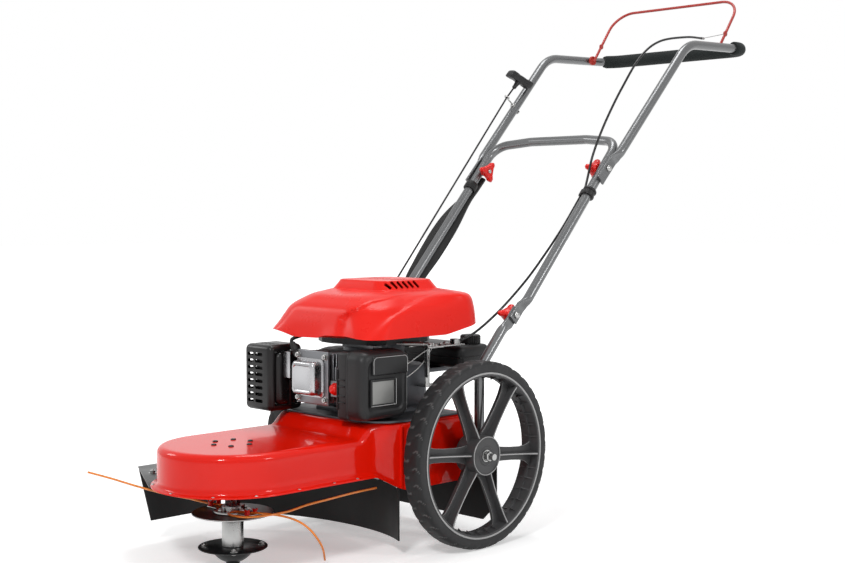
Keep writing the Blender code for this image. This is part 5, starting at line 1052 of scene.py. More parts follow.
def rows_between(rows, steps):
    """The rows with more drawn between them on a smooth curve."""
    ends = [rows[0], *rows, rows[-1]]
    found = [rows[0]]
    for four in zip(ends, ends[1:], ends[2:], ends[3:]):
        for i in range(1, steps + 1):
            found.append(tuple(smooth_step(*values, i / steps) for values in zip(*four)))
    return found


class MOWER_OT_cover(bpy.types.Operator):
    """The moulded engine cover with its scoop, raised vented centre and rope outlet"""

    bl_idname = "mower.cover"
    bl_label = "Engine cover"

    def execute(self, context):
        rows = [*rows_between(COVER_ROWS, 6), *RAISED_ROWS]
        hood = loft([cover_ring(row) for row in rows], caps=False)
        select_only(hood)
        top = max(vertex.co.z for vertex in hood.data.vertices)
        for vertex in hood.data.vertices:
            vertex.select = vertex.co.z > top - 0.00004
        for edge in hood.data.edges:
            edge.select = all(hood.data.vertices[i].select for i in edge.vertices)
        bpy.ops.object.mode_set(mode="EDIT")
        bpy.ops.mesh.select_mode(type="VERT")
        bpy.ops.mesh.edge_face_add()
        leave_edit()
        modify(hood, "SOLIDIFY", thickness=0.0024, offset=-1)
        vents = [(at(side * 0.0785, -0.113 + 0.0142 * i, 0.4975), Vector((0.014, 0.0034, 0.0078)), 0.0016, 34,
                  "X") for side in (1, -1) for i in range(6)]
        vents += [(at((i - 2.5) * 0.021, ENGINE_Y + 0.025, 0.505), Vector((0.0032, 0.026, 0.01)), 0.002, -20,
                   "Z") for i in range(6)]
        slots = []
        for middle, reach, edge, degrees, axis in vents:
            cutter = block(middle - reach, middle + reach, edge, 2)
            cutter.data.transform(turn_about(middle, radians(degrees), axis))
            slots.append(cutter)
        rope_run = Vector((-0.012, 0.06, 0.051))
        slots.append(turned(ROPE_OUTLET + Vector((0.004, -0.02, -0.017)), rope_run,
                            [(0.0055, 0), (0.0055, 0.08)], 24))
        cut_by(hood, joined(*slots))
        hung(hood, "engine_cover_moulding", "abs", "machine", "engine_cover", 32)
        grommet = turned(ROPE_OUTLET + Vector((-0.0007, 0.0035, 0.003)), rope_run,
                         [(0.0032, -0.004), (0.0056, -0.004), (0.0078, -0.001), (0.008, 0.001),
                          (0.006, 0.003), (0.0032, 0.003)], 32, around=True)
        hung(grommet, "rope_outlet_bush", "plastic")
        return {"FINISHED"}


class MOWER_OT_engine(bpy.types.Operator):
    """Crankcase, cylinder, rocker cover, muffler and its guard, plug boot, air filter and carburettor"""

    bl_idname = "mower.engine"
    bl_label = "Engine"

    def execute(self, context):
        # The crankcase takes the darkened casting finish, a painted shade
        hung(finer("crankcase", 0.0015, 3), "crankcase_casting", "shade_darkened_casting", "machine", "crankcase")
        top = block(at(-0.01, -0.156, 0.379), at(0.077, -0.132, 0.3865), 0.0012, 2)
        lugs = [hexagon(at(x, -0.15, 0.3866), Z, 0.0085, 0.004, 0.0062) for x in (0.004, 0.066)]
        hung(joined(top, *lugs), "blower_base_flange", "casting")
        fins = [block(at(-0.0445, y - 0.0013, 0.2825), at(0.0445, y + 0.0013, 0.3735), 0.0006, 1)
                for y in (-0.1605 - 0.008 * i for i in range(9))]
        core = block(at(-0.032, -0.2395, 0.296), at(0.032, -0.1575, 0.36), 0.006, 3)
        head = block(at(-0.045, -0.2398, 0.2775), at(0.045, -0.2335, 0.3785), 0.0022, 3)
        hung(joined(core, head, *fins), "finned_cylinder", "casting", "machine", "cylinder")

        stations = [(0.036, 0.01, -0.2404), (0.0362, 0.01, -0.2412), (0.036, 0.01, -0.2424),
                    (0.033, 0.009, -0.2428), (0.0318, 0.009, -0.244), (0.0314, 0.009, -0.247),
                    (0.0312, 0.009, -0.258), (0.0306, 0.009, -0.2612), (0.0292, 0.008, -0.2634),
                    (0.0272, 0.007, -0.2644), (0.024, 0.006, -0.2648), (0.0228, 0.006, -0.2638),
                    (0.0218, 0.006, -0.2634)]
        rings = [[at(x, y, 0.328 + z) for x, z in rounded(half + 0.001, half, corner, 6)]
                 for half, corner, y in stations]
        hung(loft(rings), "rocker_cover_pressing", "pressed", "machine", "valve_cover", 34)
        bolts = [hexagon(at(x, -0.2404, z), -Y, 0.0095, 0.005, 0.0066) for x in (-0.0385, 0.0385)
                 for z in (0.288, 0.368)]
        hung(joined(*bolts), "rocker_cover_bolts", "steel")

        shell = block(at(-0.152, -0.258, 0.268), at(-0.078, -0.2, 0.37), 0.012, 5)
        seam = block(at(-0.154, -0.2305, 0.2665), at(-0.076, -0.2275, 0.3715), 0.0012, 1)
        stub = turned(at(-0.085, -0.222, 0.322), X, [(0.011, 0), (0.011, 0.0395)], 32)
        hung(joined(shell, seam, stub), "muffler_shell", "coat", "machine", "muffler", 40)
        self.guard()

        start = at(-0.043, -0.2365, 0.3655)
        lean = Vector((-0.55, -0.1, 0.83)).normalized()
        boot = turned(start, lean, [(0.007, -0.001), (0.0082, 0.002), (0.0085, 0.008), (0.0076, 0.0095),
                                    (0.0085, 0.011), (0.0083, 0.015), (0.0068, 0.02), (0.006, 0.025),
                                    (0.0052, 0.028), (0, 0.029)], 28)
        lead = pipe(route([start + lean * 0.024, start + lean * 0.031,
                           start + lean * 0.036 + Vector((0.004, 0.006, 0.002)), at(-0.06, -0.19, 0.4035),
                           at(-0.05, -0.165, 0.401)], 0.004), 0.0035, 14)
        hung(joined(boot, lead), "plug_boot_and_lead", "rubber", "machine", "spark_plug_boot", 45)
        tab = block(at(-0.0745, -0.2475, 0.322), at(-0.0555, -0.246, 0.372), 0.0007, 2)
        hung(tab, "muffler_lifting_tab", "pressed")
        self.air_filter()
        return {"FINISHED"}

    def guard(self):
        """A deep-drawn guard of wire-like bars: a rounded box with rows of slots cut through it."""
        low, high = at(-0.166, -0.272, 0.256), at(-0.085, -0.19, 0.383)
        guard = block(low, high, 0.011, 5)
        select_only(guard)
        pick(guard, lambda centre, normal: normal.x > 0.99 or normal.y > 0.99)
        bpy.ops.mesh.delete(type="FACE")
        leave_edit()
        modify(guard, "SOLIDIFY", thickness=0.0018, offset=-1)

        def slot(start, end, edge):
            return block(low + Vector(start), low + Vector(end), edge, 2)

        tall, bite = high.z - low.z, 0.0032
        cutters = []
        for z in (0.0185 + 0.0128 * i for i in range(8)):
            for start, end in ((0.012, 0.03), (0.035, 0.058)):
                cutters.append(slot((start, -0.01, z - bite), (end, 0.012, z + bite), 0.0024))
            for start, end in ((0.014, 0.034), (0.04, 0.066)):
                cutters.append(slot((-0.01, start, z - bite), (0.012, end, z + bite), 0.0024))
        for x in (0.016 + 0.013 * i for i in range(4)):
            cutters += [slot((x, 0.016, z - 0.01), (x + 0.006, 0.04, z + 0.01), 0.002) for z in (tall, 0)]
        cut_by(guard, joined(*cutters))
        pins = [turned(at(-0.093, -0.27, z), Y, [(0.004, 0), (0.004, 0.0117)], 20) for z in (0.29, 0.348)]
        hung(joined(guard, *pins), "muffler_guard_cage", "coat", "machine", "muffler_guard", 34)

    def air_filter(self):
        base = block(at(0.078, -0.247, 0.258), at(0.1077, -0.131, 0.382), 0.006, 4)
        ribs = [block(at(0.0835, -0.2488, z), at(0.101, -0.246, z + 0.003), 0.001, 2)
                for z in (0.33, 0.318, 0.3, 0.288)]
        slot = block(at(0.08, -0.249, 0.276), at(0.0828, -0.2462, 0.35), 0.001, 2)
        hung(joined(base, slot, *ribs), "air_filter_back_half", "plastic", "machine", "air_filter_base")

        stations = [(0.108, 0.002, 0.018), (0.108, 0.0, 0.02), (0.11, 0.0, 0.02), (0.1108, 0.001, 0.019),
                    (0.1116, 0.0, 0.02), (0.13, 0.0004, 0.02), (0.139, 0.0016, 0.019), (0.145, 0.0044, 0.018),
                    (0.1484, 0.0082, 0.017), (0.1498, 0.012, 0.016), (0.15, 0.015, 0.015),
                    (0.1496, 0.017, 0.014), (0.1478, 0.019, 0.013), (0.1474, 0.021, 0.012)]
        rings = []
        for x, inset, corner in stations:
            outline = rounded(0.061 - inset, 0.0635 - inset, corner)
            rings.append([at(x, -0.189 + y, 0.3215 + z) for y, z in outline])
        cover = loft(rings)
        upper = block(at(0.1465, -0.2235, 0.341), at(0.1522, -0.136, 0.3765), 0.005, 4)
        panel = block(at(0.1465, -0.229, 0.285), at(0.152, -0.165, 0.3345), 0.0016, 2)
        recess(panel, lambda centre, normal: normal.x > 0.95, 0.0024, -0.0034)
        hung(joined(cover, upper, panel), "air_filter_front_half", "plastic", "machine", "air_filter_cover",
             30)
        blank = block(at(0.148, -0.2255, 0.2885), at(0.1494, -0.1685, 0.331), 0.0003, 1)
        hung(blank, "air_filter_blank_plate", "plate")
        # Painted highlights: thin light grey beads along the raised panel and the recess's sill stand for the
        # light those edges catch
        x = 0.152
        arch = [at(x, -0.2215, 0.344), at(x, -0.2215, 0.374), at(x, -0.138, 0.374), at(x, -0.138, 0.344)]
        x = 0.1518
        sill = [at(x, -0.1662, 0.333), at(x, -0.1662, 0.2862), at(x, -0.2278, 0.2862)]
        edges = joined(pipe(bent(arch, 0.008, 8), 0.0006, 8), pipe(bent(sill, 0.002, 4), 0.0007, 8))
        hung(edges, "air_filter_rubbed_edges", "worn", smooth=50)

        body = finer("carburettor", 0.001, 3)
        flange = block(at(0.0475, -0.226, 0.296), at(0.052, -0.176, 0.35), 0.0012, 2)
        cup = [(0.012, 0), (0.0135, 0.002), (0.0135, 0.014), (0.011, 0.018), (0.004, 0.019), (0.004, 0.022),
               (0, 0.022)]
        bowl = turned(at(0.064, -0.2, 0.3005), -Z, cup, 36)
        bolts = [hexagon(at(0.052, y, z), X, 0.0085, 0.0045) for y, z in ((-0.2215, 0.345), (-0.181, 0.302))]
        hung(joined(body, flange, bowl, *bolts), "carburettor_casting", "casting", "machine", "carburettor")
        centre = at(0.0652, -0.2379, 0.3115)
        bulb = turned(centre, -Y, [(0.0108, -0.0008), (0.0115, 0.0), (0.0115, 0.0028), (0.0104, 0.0034),
                                   (0.01, 0.005), (0.0093, 0.0074), (0.0076, 0.0098), (0.005, 0.0113),
                                   (0.0, 0.012)], 36)
        hung(bulb, "primer_bulb_dome", "knob", "primer_bulb", "primer_bulb", 50)


class MOWER_OT_controls(bpy.types.Operator):
    """Control bracket, brake lever, governor spring and rods, fuel tank and cap"""

    bl_idname = "mower.controls"
    bl_label = "Controls and tank"

    def execute(self, context):
        plate = finer("control_bracket", 0.0005, 2)
        cut_by(plate, block(at(0.09, -0.029, 0.3065), at(0.104, 0.02, 0.374), 0.002, 2))
        rods = [pipe(route([at(*p) for p in points], 0.006), 0.0011, 10) for points in (
            [(0.12, -0.03, 0.3835), (0.112, -0.052, 0.372), (0.103, -0.09, 0.35), (0.094, -0.12, 0.334)],
            [(0.112, -0.036, 0.3845), (0.1, -0.075, 0.392), (0.088, -0.118, 0.392), (0.082, -0.128, 0.385)],
            [(0.0995, -0.02, 0.377), (0.099, -0.05, 0.345), (0.093, -0.085, 0.322), (0.0855, -0.12, 0.31)])]
        arm = block(at(0.104, -0.096, 0.382), at(0.113, -0.03, 0.3836), 0.0006, 2)
        post = block(at(0.101, -0.044, 0.32), at(0.11, -0.0424, 0.382), 0.0006, 2)
        spots = at(0.108, 0.004, 0.3812), at(0.122, -0.052, 0.3812), at(0.108, -0.088, 0.3838)
        heads = [hexagon(spot, Z, 0.0085, 0.004, 0.0062) for spot in spots]
        plate = joined(plate, arm, post, *rods, *heads)
        hung(plate, "control_plate_and_rods", "steel", "machine", "control_bracket")
        hung(finer("brake_lever", 0.0004, 2), "brake_lever_arm", "steel", "brake_lever", "brake_lever")
        start, end = at(0.12, -0.0423, 0.3845), at(0.108, -0.124, 0.39)
        run = (end - start).normalized()
        points = [start, start + run * 0.006]
        first = Z.cross(run).normalized()
        second = run.cross(first)
        turns, sides, coil_radius, coil_length = 26, 10, 0.0038, 0.06
        for i in range(turns * sides + 1):
            angle = 2 * pi * i / sides
            middle = start + run * (0.01 + coil_length * i / (turns * sides))
            points.append(middle + coil_radius * (cos(angle) * first + sin(angle) * second))
        points += [end - run * 0.006, end]
        hung(pipe(points, 0.0007, 8), "governor_spring_coil", "steel", "machine", "governor_spring", 60)
        tank = block(at(-0.072, 0.044, 0.328), at(0.112, 0.132, 0.374), 0.012, 5)
        seam = block(at(-0.0735, 0.0425, 0.3495), at(0.1135, 0.1335, 0.3525), 0.0013, 2)
        neck = [(0.017, -0.002), (0.017, 0.0001), (0.013, 0.0002), (0.013, 0.01)]
        neck = turned(at(0.082, 0.104, 0.374), Z, neck, 36)
        hung(joined(tank, seam, neck), "fuel_tank_moulding", "plastic", "machine", "fuel_tank")
        rings = []
        for z, shrink in ((0.3743, 0.0006), (0.375, 0), (0.3885, 0), (0.3905, 0.001), (0.392, 0.0034),
                          (0.3923, 0.009), (0.3918, 0.011), (0.3918, 0.02)):
            flute = 0.0012 if shrink < 0.003 else 0.0
            ring = []
            for angle in around_circle(168):
                reach = 0.0205 - shrink - flute * max(0.0, sin(28 * angle))
                ring.append(at(0.082 + reach * cos(angle), 0.104 + reach * sin(angle), z))
            rings.append(ring)
        hung(loft(rings), "fuel_cap_moulding", "plastic", "fuel_cap", "fuel_cap")
        return {"FINISHED"}


class MOWER_OT_handle(bpy.types.Operator):
    """Handle tubes pressed flat at their bolts, foam grip, bail and its fittings"""

    bl_idname = "mower.handle"
    bl_label = "Handle"

    def execute(self, context):
        sizes = context.scene.mower_sizes
        radius = sizes.tube
        # Half width and thickness of a leg where it is pressed flat; half length and run-out of a flat place
        wide, thin = 0.0122, 0.0025
        flat, run_out = 0.018, 0.024

        def legs(points, flats):
            """A tube through close points, pressed flat and eased back to round near each flat place."""
            pressed = {}
            for i, point in enumerate(points):
                for place, reach, ease, shift in flats:
                    gap = (point - place).length
                    if gap < reach + ease:
                        share = eased((gap - reach) / ease)
                        pressed[i] = (shift * (1 - share), thin + (radius - thin) * share,
                                      wide + (radius - wide) * share)
            return pipe(points, radius, 32, pressed=pressed)

        def dense(points, step=0.006):
            found = [points[0]]
            for a, b in zip(points, points[1:]):
                count = max(1, int((b - a).length / step))
                found += [a.lerp(b, i / count) for i in range(1, count + 1)]
            return found

        inward = thin - radius
        for side, word in ((1, "left"), (-1, "right")):
            x = side * BRACKET_X + MOVE.x
            bolt = Vector((x, LOWER_BOLT.y, LOWER_BOLT.z))
            foot_y = 0.0525 + MOVE.y
            bend_z = bolt.z - (bolt.y - foot_y) * tan(SLOPE)
            corners = [Vector((x, foot_y, 0.14)), Vector((x, foot_y, bend_z)), bolt + UP_HANDLE * 0.013]
            tube = legs(dense(bent(corners, 0.05)), [(bolt, flat, run_out, side * (radius - thin))])
            boss = turned(Vector((x, foot_y - 0.0107, 0.17)), Y,
                          [(0.0095, 0), (0.0095, 0.0012), (0.006, 0.0014), (0.006, 0.011)], 28)
            tongue = turned(Vector((x, foot_y, 0.146)), Y, [(0.0035, 0), (0.0035, 0.0306)], 16)
            hung(joined(tube, boss, tongue), word + "_bracket_tube", "tube", "machine", word + "_bracket", 50)
        bar_y = 0.472
        corner_y = bar_y - 0.014
        left = Vector((MIDDLE_X, corner_y, BOLT_Z + (corner_y - BOLT_Y) * tan(SLOPE)))
        inner = Vector((0.08, bar_y, BOLT_Z + (bar_y - 0.006 - BOLT_Y) * tan(SLOPE)))
        foot = Vector((MIDDLE_X, BOLT_Y, BOLT_Z)) - UP_HANDLE * 0.013
        path = [point + MOVE for point in dense(bent(both_sides(foot, left, inner), 0.042))]
        tube = legs(path, [(LOWER_BOLT + X * side * MIDDLE_X, flat, run_out, inward) for side in (1, -1)])
        hung(tube, "middle_handle_tube", "tube", "middle_handle", "middle_handle", 50)
        foot, up = UPPER_FOOT, UP_UPPER
        corners = both_sides(foot - up * 0.036, RAIL, REAR_BAR)
        path = [point + MOVE for point in dense(bent(corners, [0.085, 0.045, 0.045, 0.085]))]
        pressed = foot + MOVE - Vector((foot.x, up.y * 0.006, up.z * 0.006))
        flats = [(pressed + X * side * (foot.x - 0.0005), 0.027, 0.026, inward) for side in (1, -1)]
        hung(legs(path, flats), "upper_handle_tube", "tube", "upper_handle", "upper_handle", 50)

        rail_end = REAR_BAR - Vector((0, 0.057, 0.057 * RAIL_RISE))
        path = dense(bent(both_sides(rail_end, REAR_BAR), 0.045), 0.004)
        path = [point + MOVE for point in path if point.x > 0 or point.y > 0.8795]
        last = len(path) - 1
        rings = []
        for outer, order in ((True, range(last + 1)), (False, range(last, -1, -1))):
            frames = along_path(path)
            for i in order:
                point, across, normal = frames[i]
                reach = sizes.foam - (0.0022 if i in (0, last) else 0) if outer else radius + 0.0003
                rings.append([point + reach * (across * cos(angle) + normal * sin(angle))
                              for angle in around_circle(32)])
        hung(loft(rings, around=True), "foam_grip_sleeve", "foam", "upper_handle", "foam_grip", 50)
        self.bail(sizes.bail)
        return {"FINISHED"}

    def bail(self, radius):
        foot, top = Vector((BAIL_X, BAIL_Y, BAIL_PIVOT.z)), Vector((BAIL_X, 0.915, 1.13))
        corners = both_sides(Vector((RAIL_X - 0.004, BAIL_Y, BAIL_PIVOT.z)), foot, top)
        near, far = bent(corners[:3], 0.006, 6), bent(corners[3:], 0.006, 6)
        path = near[:-1] + bent(corners[1:5], 0.052, 16)[1:-1] + far[1:]
        rod = pipe([point + MOVE for point in path], radius, 18, side=Y)
        up_bail = (top - foot).normalized()
        eye = [(0.002, -0.0016), (0.0062, -0.0016), (0.0066, 0), (0.0062, 0.0016), (0.002, 0.0016)]
        eyes = [turned(BAIL_PIVOT + X * side * BAIL_X + up_bail * 0.045, X, eye, 24, around=True)
                for side in (1, -1)]
        hung(joined(rod, *eyes), "bail_rod", "vinyl", "bail", "bail", 55)
        bushes = []
        for side, reach in ((1, 0.0076), (-1, 0.0112)):
            bush = [(0.0036, -0.002), (reach - 0.0004, -0.002), (reach, -0.001), (reach, 0.003),
                    (reach - 0.0006, 0.0042), (0.0036, 0.0042)]
            bushes.append(turned(BAIL_PIVOT + X * side * 0.185, X * side, bush, 36, around=True))
        hung(joined(*bushes), "bail_bushes", "vinyl", "bail", smooth=50)


class MOWER_OT_knobs(bpy.types.Operator):
    """Four wing knobs and the bolts they turn on"""

    bl_idname = "mower.knobs"
    bl_label = "Knobs"

    def execute(self, context):
        # Radius of a lobe's end, distances of its centre and of the flanks, and half the angle of the end
        lobe_end, lobe_centre, flank_reach, tip_angle = 0.006, 0.019, 0.013, 0.32
        third = 2 * pi / 3
        stations = ((0.0003, 0.0, 0.01), (0.003, 0.0, 0.0108), (0.0055, 0.3, 0.0098), (0.009, 0.85, 0.0092),
                    (0.013, 1.0, 0.0088), (0.0172, 1.0, 0.0084), (0.0194, 0.92, 0.0076), (0.02, 0.8, 0.006),
                    (0.0192, 0.55, 0.005), (0.0186, 0.2, 0.004))
        levels = ("lower", LOWER_BOLT, 0.1597, 0.1708), ("upper", UPPER_BOLT, 0.1652, 0.1913)
        for level, bolt, x, out in levels:
            for side, word in ((1, "left"), (-1, "right")):
                seat = Vector((MOVE.x + side * x, bolt.y, bolt.z))
                inward = -X * side
                rings = []
                for depth, lobe, hub in stations:
                    ring = []
                    for angle in around_circle(60):
                        off_tip = abs((angle - SLOPE + third / 2) % third - third / 2)
                        within = max(0.0, lobe_end**2 - (lobe_centre * sin(off_tip)) ** 2)
                        lobed = lobe_centre * cos(off_tip) + sqrt(within)
                        flank = flank_reach / cos(third / 2 - off_tip)
                        reach = hub + lobe * (max(flank, lobed if off_tip < tip_angle else 0.0) - 0.0088)
                        ring.append(seat + inward * depth + Vector((0, cos(angle), sin(angle))) * reach)
                    rings.append(ring)
                knob = loft(rings)
                name = f"{word}_{level}_knob"
                hung(knob, name + "_wing", "knob", name, name, 42)
                shaft = turned(seat, -inward, [(0.003, -0.004), (0.003, out - x + 0.002)], 20)
                end = Vector((MOVE.x + side * (out + 0.0003), bolt.y, bolt.z))
                cap = dome_bolt(end, X * side, 0.0068, 0.0042)
                tip = hexagon(seat + inward * 0.018, inward, 0.0085, 0.003)
                hung(joined(shaft, cap, tip), name + "_bolt", "steel", name, smooth=50)
        return {"FINISHED"}


class MOWER_OT_starter(bpy.types.Operator):
    """Starter rope, its guide and its T-grip"""

    bl_idname = "mower.starter"
    bl_label = "Starter rope"

    def execute(self, context):
        rope = context.scene.mower_sizes.rope
        along = (GRIP_CENTRE - GUIDE_RING).normalized()
        exit_point = CRANK + Vector((-0.055 * 0.86, 0.055 * 0.6, 0.432))
        middle = ROPE_OUTLET + (GUIDE_RING - ROPE_OUTLET) * 0.55
        run = (GUIDE_RING - ROPE_OUTLET).normalized()
        lower = [exit_point, at(-0.07, -0.012, 0.437), at(-0.089, 0.02, 0.4475), ROPE_OUTLET, middle]
        lower = route(lower, 0.01)
        upper = route([middle, GUIDE_RING - run * 0.02, GUIDE_RING], 0.01)
        short = route([GUIDE_RING, GRIP_CENTRE - along * 0.028], 0.004)
        cord(pipe(lower, rope, 12), "starter_rope_low", "rope", "starter_rope_lower",
             ("machine", "middle_handle"))
        cord(pipe(upper, rope, 12), "starter_rope_high", "rope", "starter_rope_upper",
             ("middle_handle", "upper_handle"))
        cord(pipe(short, rope, 12), "starter_rope_end", "rope", None, ("upper_handle", "starter_grip"),
             "rope_black")

        bar = Vector((0, 0.07, -0.026)).normalized()
        side = bar.cross(along).normalized()
        rings = []
        half = [(0.0375, 0.78), (0.0368, 0.92), (0.035, 1.0), (0.022, 1.0), (0.012, 0.9)]
        stations = [*[(-reach, share) for reach, share in half], (0.0, 0.94), *half[::-1]]
        for reach, share in stations:
            ring = []
            for angle in around_circle(36):
                u, v = cos(angle), sin(angle)
                square = (abs(u) ** 5 + abs(v) ** 5) ** -0.2
                ring.append(GRIP_CENTRE + bar * reach
                            + (side * u * 0.01 + along * v * 0.0102) * square * share)
            rings.append(ring)
        grip = loft(rings)
        neck = turned(GRIP_CENTRE, -along, [(0.0078, 0.002), (0.0072, 0.008), (0.006, 0.014), (0.005, 0.02),
                                            (0.0048, 0.027), (0.004, 0.028)], 28)
        hung(joined(grip, neck), "starter_t_grip", "plastic", "starter_grip", "starter_grip", 45)

        spot = UPPER_FOOT.lerp(RAIL, 0.545)
        off = Vector((0, -UP_UPPER.z, UP_UPPER.y))
        seat = Vector((-spot.x, spot.y, spot.z)) + MOVE + off * 0.01
        to_seat = seat - GUIDE_RING
        radial = (to_seat - along * to_seat.dot(along)).normalized()
        wire = pipe(bent([seat, seat + off * 0.008, GUIDE_RING + radial * 0.005], 0.003, 6), 0.0017, 14)
        eye = [(0.005 + 0.0018 * cos(angle), 0.0018 * sin(angle)) for angle in around_circle(12)]
        eye = turned(GUIDE_RING, along, eye, 36, around=True)
        nut = hexagon(seat - off * 0.0003, off, 0.0095, 0.004, 0.007)
        cap = [(0.0055, 0), (0.0055, 0.002), (0.003, 0.0036), (0, 0.0038)]
        through = turned(seat - off * 0.0215, -off, cap, 20)
        hung(joined(wire, eye, nut, through), "rope_guide_eye", "steel", "upper_handle", "rope_guide", 50)
        return {"FINISHED"}


# How far up the leg, half width, half depth, and how far outside and behind the tube's centre
SLEEVE_ROWS = [(0.045, 0.011, 0.007, 0.006, 0.009),
               (0.08, 0.019, 0.0085, 0.007, 0.0075),
               (0.15, 0.024, 0.0085, 0.007, 0.0075),
               (0.24, 0.023, 0.0085, 0.007, 0.0075),
               (0.305, 0.016, 0.0075, 0.0045, 0.0095),
               (0.345, 0.0095, 0.0065, 0.0, 0.015),
               (0.388, 0.0085, 0.006, 0.0, 0.0178)]


def up_leg(y):
    """The place on the middle handle's slope, in the middle plane, at a Y of the machine."""
    return LOWER_BOLT + UP_HANDLE * ((y - BOLT_Y) / cos(SLOPE))


class MOWER_OT_cables(bpy.types.Operator):
    """Brake cable, its clamp and inner wire, and the sleeve behind the right leg"""

    bl_idname = "mower.cables"
    bl_label = "Cable and sleeve"

    def execute(self, context):
        radius = context.scene.mower_sizes.cable
        held = up_leg(0.36) + X * (MIDDLE_X - 0.0165)
        x, low = 0.111, 0.379
        lower = [at(x, 0.0225, low + 0.0075), at(x, 0.037, low + 0.0075), at(x + 0.002, 0.05, low + 0.0095),
                 at(0.118, 0.075, 0.398), at(0.128, 0.105, 0.4195), at(0.1345, 0.15, 0.4525),
                 at(0.143, 0.205, 0.501), at(0.149, 0.252, 0.549), at(0.1545, 0.302, 0.604),
                 held - UP_HANDLE * 0.013, held]
        upper = [held, held + UP_HANDLE * 0.013, at(0.1605, 0.377, 0.712), at(0.164, 0.385, 0.748),
                 at(0.168, 0.401, 0.788), at(0.171, 0.429, 0.837), at(0.174, 0.472, 0.898),
                 at(0.177, 0.532, 0.968), at(0.178, 0.6, 1.007), at(0.177, 0.7, 1.025),
                 at(0.1735, 0.77, 1.0285)]
        cord(pipe(route(lower, 0.008), radius, 14), "brake_cable_low", "jacket", "brake_cable_lower",
             ("machine", "middle_handle"))
        cord(pipe(route(upper, 0.008), radius, 14), "brake_cable_high", "jacket", "brake_cable_upper",
             ("middle_handle", "upper_handle"))
        end = upper[-1]
        ferrule = [(0.0026, -0.006), (0.0032, -0.006), (0.0032, 0.004), (0.0024, 0.006), (0.0008, 0.007)]
        ferrule = turned(end, upper[-1] - upper[-2], ferrule, 20)
        hung(ferrule, "brake_cable_ferrule", "steel", "upper_handle")
        eye = BAIL_PIVOT + X * BAIL_X + Vector((0, 0.09, 0.1205)).normalized() * 0.045
        wire = route([end, end.lerp(eye, 0.33), end.lerp(eye, 0.66), eye], 0.008)
        cord(pipe(wire, 0.0008, 8), "brake_inner_wire", "steel", None, ("upper_handle", "bail"))

        centre = held + X * 0.0165
        clip = folded((0.0103, -0.009), (0.0138, -0.009), (0.0146, -0.0078), (0.0146, -0.0046),
                      (0.0128, -0.0036))
        loop = folded((0.0028, -0.008), (0.0052, -0.008), (0.0055, -0.007))
        clip = turned(centre, UP_HANDLE, clip, 48, around=True)
        loop = turned(held, UP_HANDLE, loop, 32, around=True)
        hung(joined(clip, loop), "cable_clip", "plastic", "middle_handle", "cable_clamp", 40)

        foot = LOWER_BOLT - X * MIDDLE_X
        behind = Vector((0, UP_HANDLE.z, -UP_HANDLE.y))
        rings = []
        for along, half_width, half_depth, outside, back in rows_between(SLEEVE_ROWS, 8):
            away = behind * back - X * outside
            wide = UP_HANDLE.cross(away).normalized()
            ring = []
            for angle in around_circle(48):
                fold = 1 + 0.035 * cos(6 * angle + 30 * along) * eased(along / 0.1)
                ring.append(foot + UP_HANDLE * along + away
                            + (wide * half_width * cos(angle)
                               + away.normalized() * half_depth * sin(angle)) * fold)
            rings.append(ring)
        sleeve = loft(rings)
        cut_by(sleeve, turned(foot, UP_HANDLE, [(0.0103, 0.02), (0.0103, 0.42)], 48))
        ring = folded((0.0103, -0.009), (0.0138, -0.009), (0.0144, -0.0078))
        ring = turned(up_leg(0.376) - X * MIDDLE_X, UP_HANDLE, ring, 48, around=True)
        hung(joined(sleeve, ring), "leg_sleeve", "rubber", "middle_handle", "line_sleeve", 50,
             slot="black_plastic")
        return {"FINISHED"}


class MOWER_OT_inner_finishes(bpy.types.Operator):
    """Finishes for the solids that keep their own shape"""

    bl_idname = "mower.inner_finishes"
    bl_label = "Inner finishes"

    def execute(self, context):
        for node, finish in (("driven_pulley", "coat"), ("drive_pulley", "coat"), ("v_belt", "rubber"),
                             ("crankshaft", "steel"), ("flywheel", "casting"), ("blower_housing", "plastic"),
                             ("recoil_housing", "coat"), ("recoil_reel", "plastic")):
            materials = frame["nodes"][node].data.materials
            materials.clear()
            materials.append(FINISH[finish])
        return {"FINISHED"}


# Studio


def shown_white(tree):
    """One where the background is seen directly, in a reflection or through glass."""
    path = add(tree, "LightPath")
    either = add(tree, "Math", {0: (path, "Is Camera Ray"), 1: (path, "Is Glossy Ray")}, operation="MAXIMUM")
    return add(tree, "Math", {0: (either, "Value"), 1: (path, "Is Transmission Ray")}, operation="MAXIMUM")


